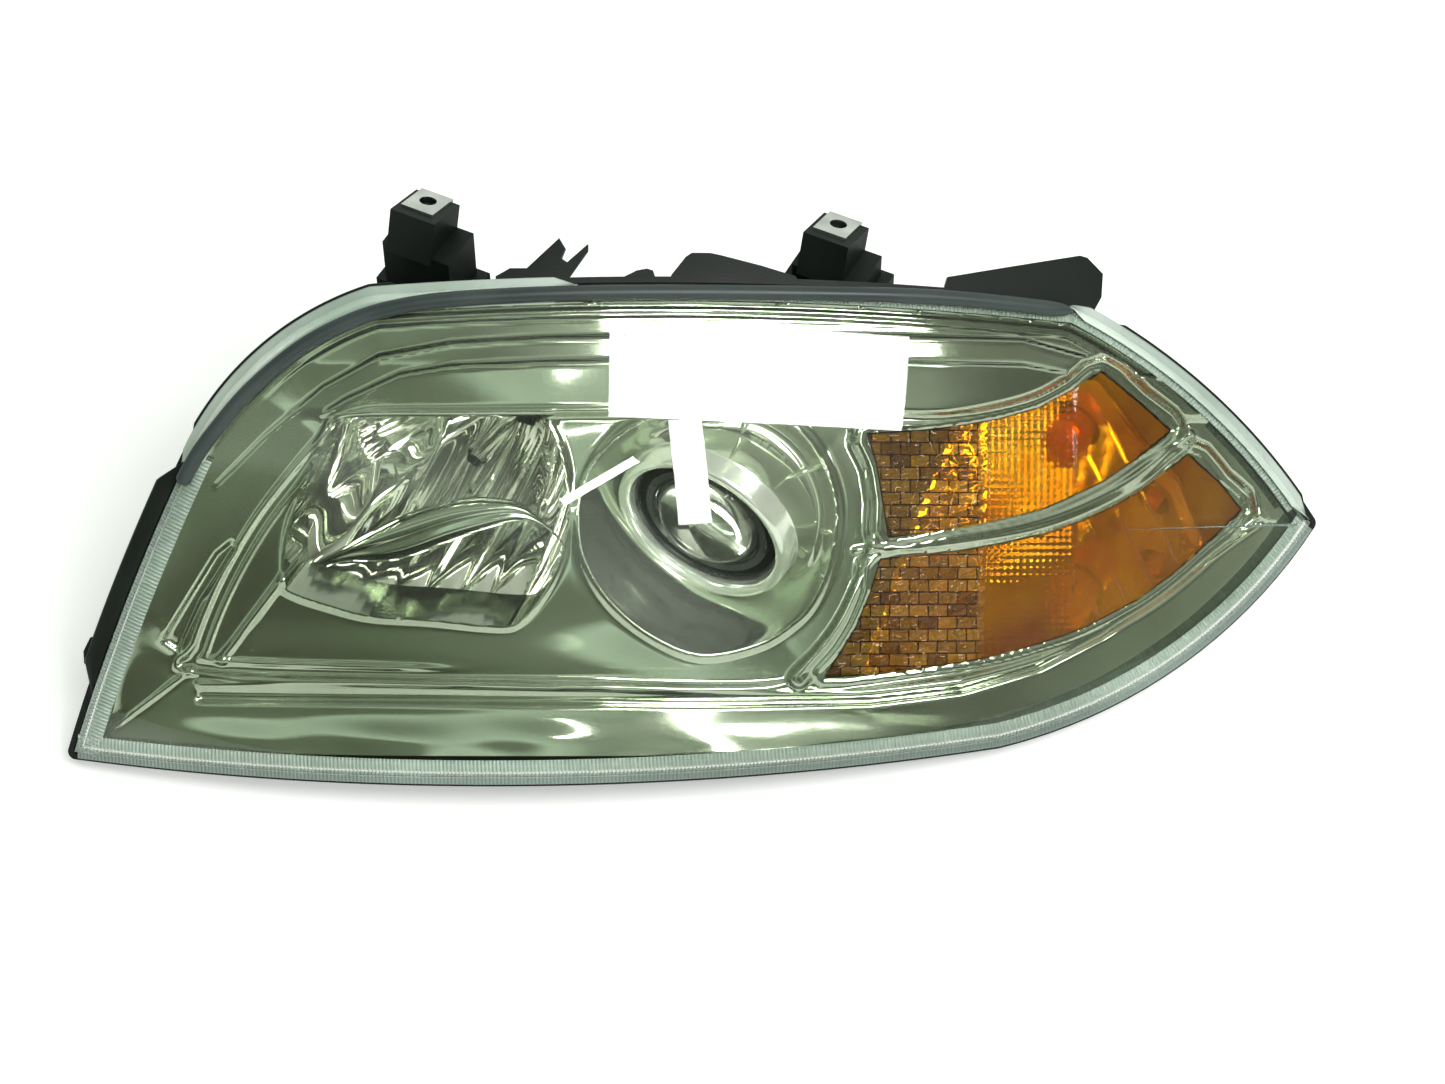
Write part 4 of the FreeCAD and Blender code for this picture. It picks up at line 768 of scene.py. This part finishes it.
# the rim reaches behind the pocket's edge (its outline runs the other way round, so this is outwards)
pocket_wide = inset(smooth_line(HIGH_POCKET, 8, closed=True), POCKET_REACH)
pocket_middle = np.array([-145.0, 8.0])
turns = np.linspace(0, 2 * math.pi, MIRROR_AROUND, endpoint=False)
mirror_rim = outline_towards(pocket_wide, pocket_middle, turns)
mirror_rim = lens_spots(*mirror_rim.T, MIRROR_RIM_DEPTH)
apex = np.array([HIGH_X, MIRROR_APEX, HIGH_Z])
rings = []
for step in range(MIRROR_RINGS):
    share = BULB_HOLE + (1 - BULB_HOLE) * step / (MIRROR_RINGS - 1)
    spots = apex + (mirror_rim - apex) * np.array([share, share ** 1.9, share])
    column = (spots[:, 0] - HIGH_X) / FLUTE + 0.35 * np.sin((spots[:, 2] - HIGH_Z) / 0.02)
    swell = 1 - (2 * (column - np.floor(column)) - 1) ** 2
    tilt = np.sin(np.floor(column) * 2.4) * (column - np.floor(column) - 0.5)
    inwards = np.array([HIGH_X, MIRROR_APEX - 0.09, HIGH_Z + 0.02]) - spots
    inwards /= np.linalg.norm(inwards, axis=1)[:, None]
    fade = min(1.0, (MIRROR_RINGS - 1 - step) / 5)
    rings.append(spots + inwards * (FLUTE_SWELL * swell + FLUTE_TILT * tilt)[:, None] * fade)
fluted_reflector = new_piece("fluted_reflector", rings)
mirror = mottled("bright_mirror", (0.93, 0.95, 0.88), (0.88, 0.91, 0.83), patches=14.0,
                 specks=(500.0, 0.1), roughness=(0.03, 0.03), Metallic=0.97)
fluted_reflector.data.materials.append(mirror)
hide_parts("high_beam_reflector")
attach(fluted_reflector, "aim_unit")

# --------------------------------------
# High-beam visor: a leaf-shaped cover that hides the bulb from the front. It is pressed from plated
# sheet and clipped to the reflector at its ends.
# --------------------------------------
LEAF_HIGH = [(-222, -20), (-208, -11), (-191, -2), (-158, 13), (-124, 22), (-102, 21), (-88, 11),
             (-78, -2)]
LEAF_LOW = [(-222, -21), (-208, -16), (-191, -10), (-168, -9), (-140, 2), (-108, 10), (-93, 8),
            (-78, -3)]
LEAF_AROUND, LEAF_DEPTH, LEAF_SWELL, LEAF_FOLD = 28, 56.0, 7.0, 2.2
section = np.linspace(0, 2 * math.pi, LEAF_AROUND, endpoint=False)
fold = LEAF_FOLD * ridge(np.cos(section) + 0.15, 0.16) * (np.sin(section) > 0)
rings = []
for high, low in zip(smooth_line(LEAF_HIGH, 10), smooth_line(LEAF_LOW, 10)):
    half = max(0.3, (high[1] - low[1]) / 2)
    middle_spot = (high + low) / 2
    depth = LEAF_DEPTH - LEAF_SWELL * math.sqrt(half / 9.0) * np.sin(section) + fold
    rings.append(lens_spots(middle_spot[0], middle_spot[1] + half * np.cos(section), depth))
visor_leaf = new_piece("visor_leaf", rings)
visor_leaf.data.materials.append(chrome)
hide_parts("high_beam_visor")
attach(visor_leaf, "aim_unit")

# --------------------------------------
# Amber windows: two moulded panes: pillow optics inboard, with painted glints and shade in bright
# and dark bricks, fine beads in the middle and long prisms at the tip, over a plated box reflector.
# --------------------------------------
amber = mottled("amber_plastic", (1.0, 0.38, 0.002), (0.6, 0.14, 0.0004), patches=22.0,
                specks=(900.0, 0.2), roughness=(0.04, 0.08), IOR=1.5, Transmission_Weight=0.9,
                Specular_IOR_Level=0.25)
# the inboard part has bright and dark bricks instead, painted glints and shade, with their joints
# painted as shade between the pillows, laid out across and up the lens, in metres
GLINT_AND_SHADE_BRICKS = {"Color1": (1.0, 0.46, 0.005, 1), "Color2": (0.2, 0.04, 0.0003, 1),
               "Mortar": (0.1, 0.018, 0.0003, 1), "Scale": 1.0, "Mortar Size": 0.0005,
               "Mortar Smooth": 0.4, "Bias": -0.15, "Brick Width": 0.0098, "Row Height": 0.0062}
GLINT_BRICKS_END = (0.127, 0.133)
tree = amber.node_tree
place, turn = tree.nodes.new("ShaderNodeTexCoord"), tree.nodes.new("ShaderNodeMapping")
turn.inputs["Rotation"].default_value = Matrix(FACE_BASIS.tolist()).to_euler()
turn.inputs["Location"].default_value = -(FACE_BASIS @ LENS_MIDDLE)
# the bricks: painted glints and shade, bright and dark amber with darker joints
painted_glint_bricks = tree.nodes.new("ShaderNodeTexBrick")
painted_glint_bricks.offset, painted_glint_bricks.squash = 0.5, 1.0
for socket, value in GLINT_AND_SHADE_BRICKS.items():
    painted_glint_bricks.inputs[socket].default_value = value
outboard, split = tree.nodes.new("ShaderNodeMapRange"), tree.nodes.new("ShaderNodeSeparateXYZ")
outboard.inputs["From Min"].default_value, outboard.inputs["From Max"].default_value = GLINT_BRICKS_END
zones = tree.nodes.new("ShaderNodeMix")
zones.data_type = "RGBA"
shader = tree.nodes["Principled BSDF"]
tree.links.new(shader.inputs["Base Color"].links[0].from_socket, zones.inputs["B"])
wire(tree, (place, "Object", turn, "Vector"), (turn, "Vector", painted_glint_bricks, "Vector"),
     (turn, "Vector", split, "Vector"), (split, "X", outboard, "Value"),
     (outboard, "Result", zones, "Factor"), (painted_glint_bricks, "Color", zones, "A"),
     (zones, "Result", shader, "Base Color"))
let_lamps_through(amber, (0.9, 0.35, 0.02))
# sizes of the optics in millimetres: pillows, beads and prisms, and where each kind ends
PILLOW_WIDE, PILLOW_HIGH, PILLOW_RISE = 10.5, 6.6, 2.3
BEAD, BEAD_RISE, PRISM, PRISM_RISE = 3.4, 0.55, 19.0, 1.8
PILLOWS_END, BEADS_END, PANE_DEPTH, PANE_GRID, PANE_GAP = (128, 132), (176, 180), 18.3, 0.9, 0.7


def crowned(a, b):
    """A low dome over a cell whose sides run from 0 to 1."""
    return (1 - (2 * a - 1) ** 2) * (1 - (2 * b - 1) ** 2)


def pane_depth(across, up):
    """The panes' outer surface, with its three kinds of optics."""
    column = across / PILLOW_WIDE + 0.22 * np.sin(up / 7.0)
    row = (up - 0.16 * across) / PILLOW_HIGH + 0.5 * (np.floor(column) % 2)
    a, b = column - np.floor(column), row - np.floor(row)
    # each pillow leans its own way, drawn from its column and row
    seed = np.sin(np.floor(column) * 12.9898 + np.floor(row) * 78.233) * 43758.5453
    chance = np.modf(np.abs(seed))[0]
    lean = (chance - 0.5) * 4.6 * (a - 0.5) + (np.modf(chance * 7.7)[0] - 0.5) * 3.4 * (b - 0.5)
    pillows = PILLOW_RISE * crowned(a, b) + lean
    bead_column, bead_row = across / BEAD, up / BEAD
    beads = BEAD_RISE * crowned(bead_column - np.floor(bead_column), bead_row - np.floor(bead_row))
    slant = (across + 0.55 * up) / PRISM
    prisms = PRISM_RISE * (slant - np.floor(slant))
    mid, tip = ease(across, *PILLOWS_END), ease(across, *BEADS_END)
    return PANE_DEPTH - (pillows * (1 - mid) + beads * mid * (1 - tip) + prisms * tip)


for name, node, loop in (("amber_pane_high", "amber_lens_upper", AMBER_HIGH),
                         ("amber_pane_low", "amber_lens_lower", AMBER_LOW)):
    loop = np.array(loop, float)
    low_spot, high_spot = loop.min(axis=0) - 3, loop.max(axis=0) + 3
    pane_across, pane_up = np.meshgrid(np.arange(low_spot[0], high_spot[0], PANE_GRID),
                                       np.arange(low_spot[1], high_spot[1], PANE_GRID))
    pane_field = line_distance(loop, pane_across, pane_up, closed=True) + PANE_GAP
    pane = cut_sheet(name, pane_field, pane_across, pane_up, pane_depth, plain_wall, PANE_GRID)
    pane.data.materials.append(amber)
    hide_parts(node)
    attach(pane, "lamp_body")
dress(mirror, "turn_reflector")

# --------------------------------------
# Studio: a plain white floor, a room whose tones vary from side to side and from front to back, a
# softbox and two narrow lamps in front of the lens, and the camera square to it.
# --------------------------------------
scene = bpy.context.scene
middle = Vector(LENS_MIDDLE)
FLOOR_SIZE, FLOOR_GLOW, LAMP_BACK, CAMERA_BACK, CAMERA_LENS = 30.0, 0.4, 2.0, 1.6547, 85.0


def straight_view(tree):
    """1 for rays from the camera, also where they have only passed through clear plastic."""
    path = tree.nodes.new("ShaderNodeLightPath")
    no_mirror, through = math_node(tree, "LESS_THAN", 0.5), math_node(tree, "MULTIPLY")
    seen = math_node(tree, "MAXIMUM")
    wire(tree, (path, "Glossy Depth", no_mirror, 0), (no_mirror, "Value", through, 0),
         (path, "Is Transmission Ray", through, 1), (path, "Is Camera Ray", seen, 0),
         (through, "Value", seen, 1))
    return seen


bpy.ops.mesh.primitive_plane_add(size=FLOOR_SIZE, location=(0, 0, -0.0005))
floor = bpy.context.active_object
floor.name = "studio_floor"
floor_paint = new_material("floor_paint", Roughness=0.9, Specular_IOR_Level=0.0,
                           Base_Color=(0.93, 0.94, 0.92, 1))
tree = floor_paint.node_tree
shader, output = tree.nodes["Principled BSDF"], tree.nodes["Material Output"]
glow, both = tree.nodes.new("ShaderNodeEmission"), tree.nodes.new("ShaderNodeAddShader")
strength = math_node(tree, "MULTIPLY", FLOOR_GLOW)
wire(tree, (straight_view(tree), "Value", strength, 0), (strength, "Value", glow, "Strength"),
     (shader, "BSDF", both, 0), (glow, "Emission", both, 1), (both, "Shader", output, "Surface"))
floor.data.materials.append(floor_paint)

world = bpy.data.worlds.new("studio")
scene.world = world
world.use_nodes = True
tree = world.node_tree
tree.nodes.clear()
output, mix = tree.nodes.new("ShaderNodeOutputWorld"), tree.nodes.new("ShaderNodeMixShader")
white, room = tree.nodes.new("ShaderNodeBackground"), tree.nodes.new("ShaderNodeBackground")
white.inputs["Color"].default_value = (1, 1, 1, 1)
where, split = tree.nodes.new("ShaderNodeTexCoord"), tree.nodes.new("ShaderNodeSeparateXYZ")
tones = tree.nodes.new("ShaderNodeMix")
tones.data_type, tones.blend_type = "RGBA", "MULTIPLY"
tones.inputs["Factor"].default_value = 1.0
# the room's tones from front to back (Y) and from side to side (X)
ROOM_DEEP = [(-1.0, 0.07, 0.08, 0.05), (-0.92, 0.07, 0.08, 0.05), (-0.86, 0.15, 0.19, 0.13),
             (-0.79, 0.18, 0.21, 0.15), (-0.76, 0.7, 0.84, 0.72), (-0.7, 0.54, 0.64, 0.54),
             (-0.63, 0.28, 0.35, 0.27), (-0.53, 0.14, 0.16, 0.11), (-0.45, 0.44, 0.5, 0.42),
             (-0.36, 0.44, 0.5, 0.42), (-0.28, 0.3, 0.35, 0.28), (-0.12, 0.22, 0.25, 0.19),
             (0.1, 0.28, 0.31, 0.25), (0.4, 0.7, 0.75, 0.7), (1.0, 0.8, 0.85, 0.8)]
ROOM_WIDE = [(-1.0, 0.8, 0.8, 0.8), (-0.4, 1, 1, 1), (0.58, 1, 1, 1), (0.68, 0.7, 0.7, 0.68),
             (0.76, 0.45, 0.45, 0.43), (0.9, 0.3, 0.3, 0.28), (0.98, 0.9, 0.9, 0.86),
             (1.0, 0.9, 0.9, 0.86)]
for stops, way, entry in ((ROOM_DEEP, "Y", "A"), (ROOM_WIDE, "X", "B")):
    place, ramp = tree.nodes.new("ShaderNodeMapRange"), tree.nodes.new("ShaderNodeValToRGB")
    place.inputs["From Min"].default_value, place.inputs["From Max"].default_value = -1.0, 1.0
    elements = ramp.color_ramp.elements
    elements.remove(elements[1])
    for index, (spot, *tone) in enumerate(stops):
        element = elements[0] if index == 0 else elements.new((spot + 1) / 2)
        element.position, element.color = (spot + 1) / 2, (*tone, 1)
    wire(tree, (split, way, place, "Value"), (place, "Result", ramp, "Fac"),
         (ramp, "Color", tones, entry))
wire(tree, (where, "Generated", split, "Vector"), (tones, "Result", room, "Color"),
     (straight_view(tree), "Value", mix, "Fac"), (room, "Background", mix, 1),
     (white, "Background", mix, 2), (mix, "Shader", output, "Surface"))

# each lamp: slope across and up from straight ahead, width, height, roll in degrees, and watts
LAMPS = {"softbox": (0.345, 0.194, 1.18, 0.51, 0.0, 30.0),
         "lamp_arm": (0.2, -0.077, 0.13, 0.56, 4.0, 4.2),
         "tube_lamp": (0.02, -0.103, 0.37, 0.04, 39.0, 1.2)}
for name, (across, up, wide, high, roll, power) in LAMPS.items():
    way = (OUTWARD + ACROSS * across + UPWARD * up).normalized()
    lamp = bpy.data.lights.new(name, "AREA")
    lamp.shape = "RECTANGLE"
    lamp.size, lamp.size_y, lamp.energy = wide, high, power
    lamp_object = bpy.data.objects.new(name, lamp)
    lamp_object.location = middle + way * LAMP_BACK
    side = (ACROSS - way * ACROSS.dot(way)).normalized()
    side.rotate(Quaternion(way, math.radians(roll)))
    lamp_object.rotation_euler = Matrix((side, way.cross(side), way)).transposed().to_euler()
    scene.collection.objects.link(lamp_object)

camera = bpy.data.cameras.new("camera")
camera.lens, camera.sensor_width = CAMERA_LENS, 36.0
camera_object = bpy.data.objects.new("camera", camera)
camera_object.location = middle + OUTWARD * CAMERA_BACK
camera_object.rotation_euler = Matrix((ACROSS, UPWARD, OUTWARD)).transposed().to_euler()
scene.collection.objects.link(camera_object)
scene.camera = camera_object
scene.view_settings.view_transform = "Standard"
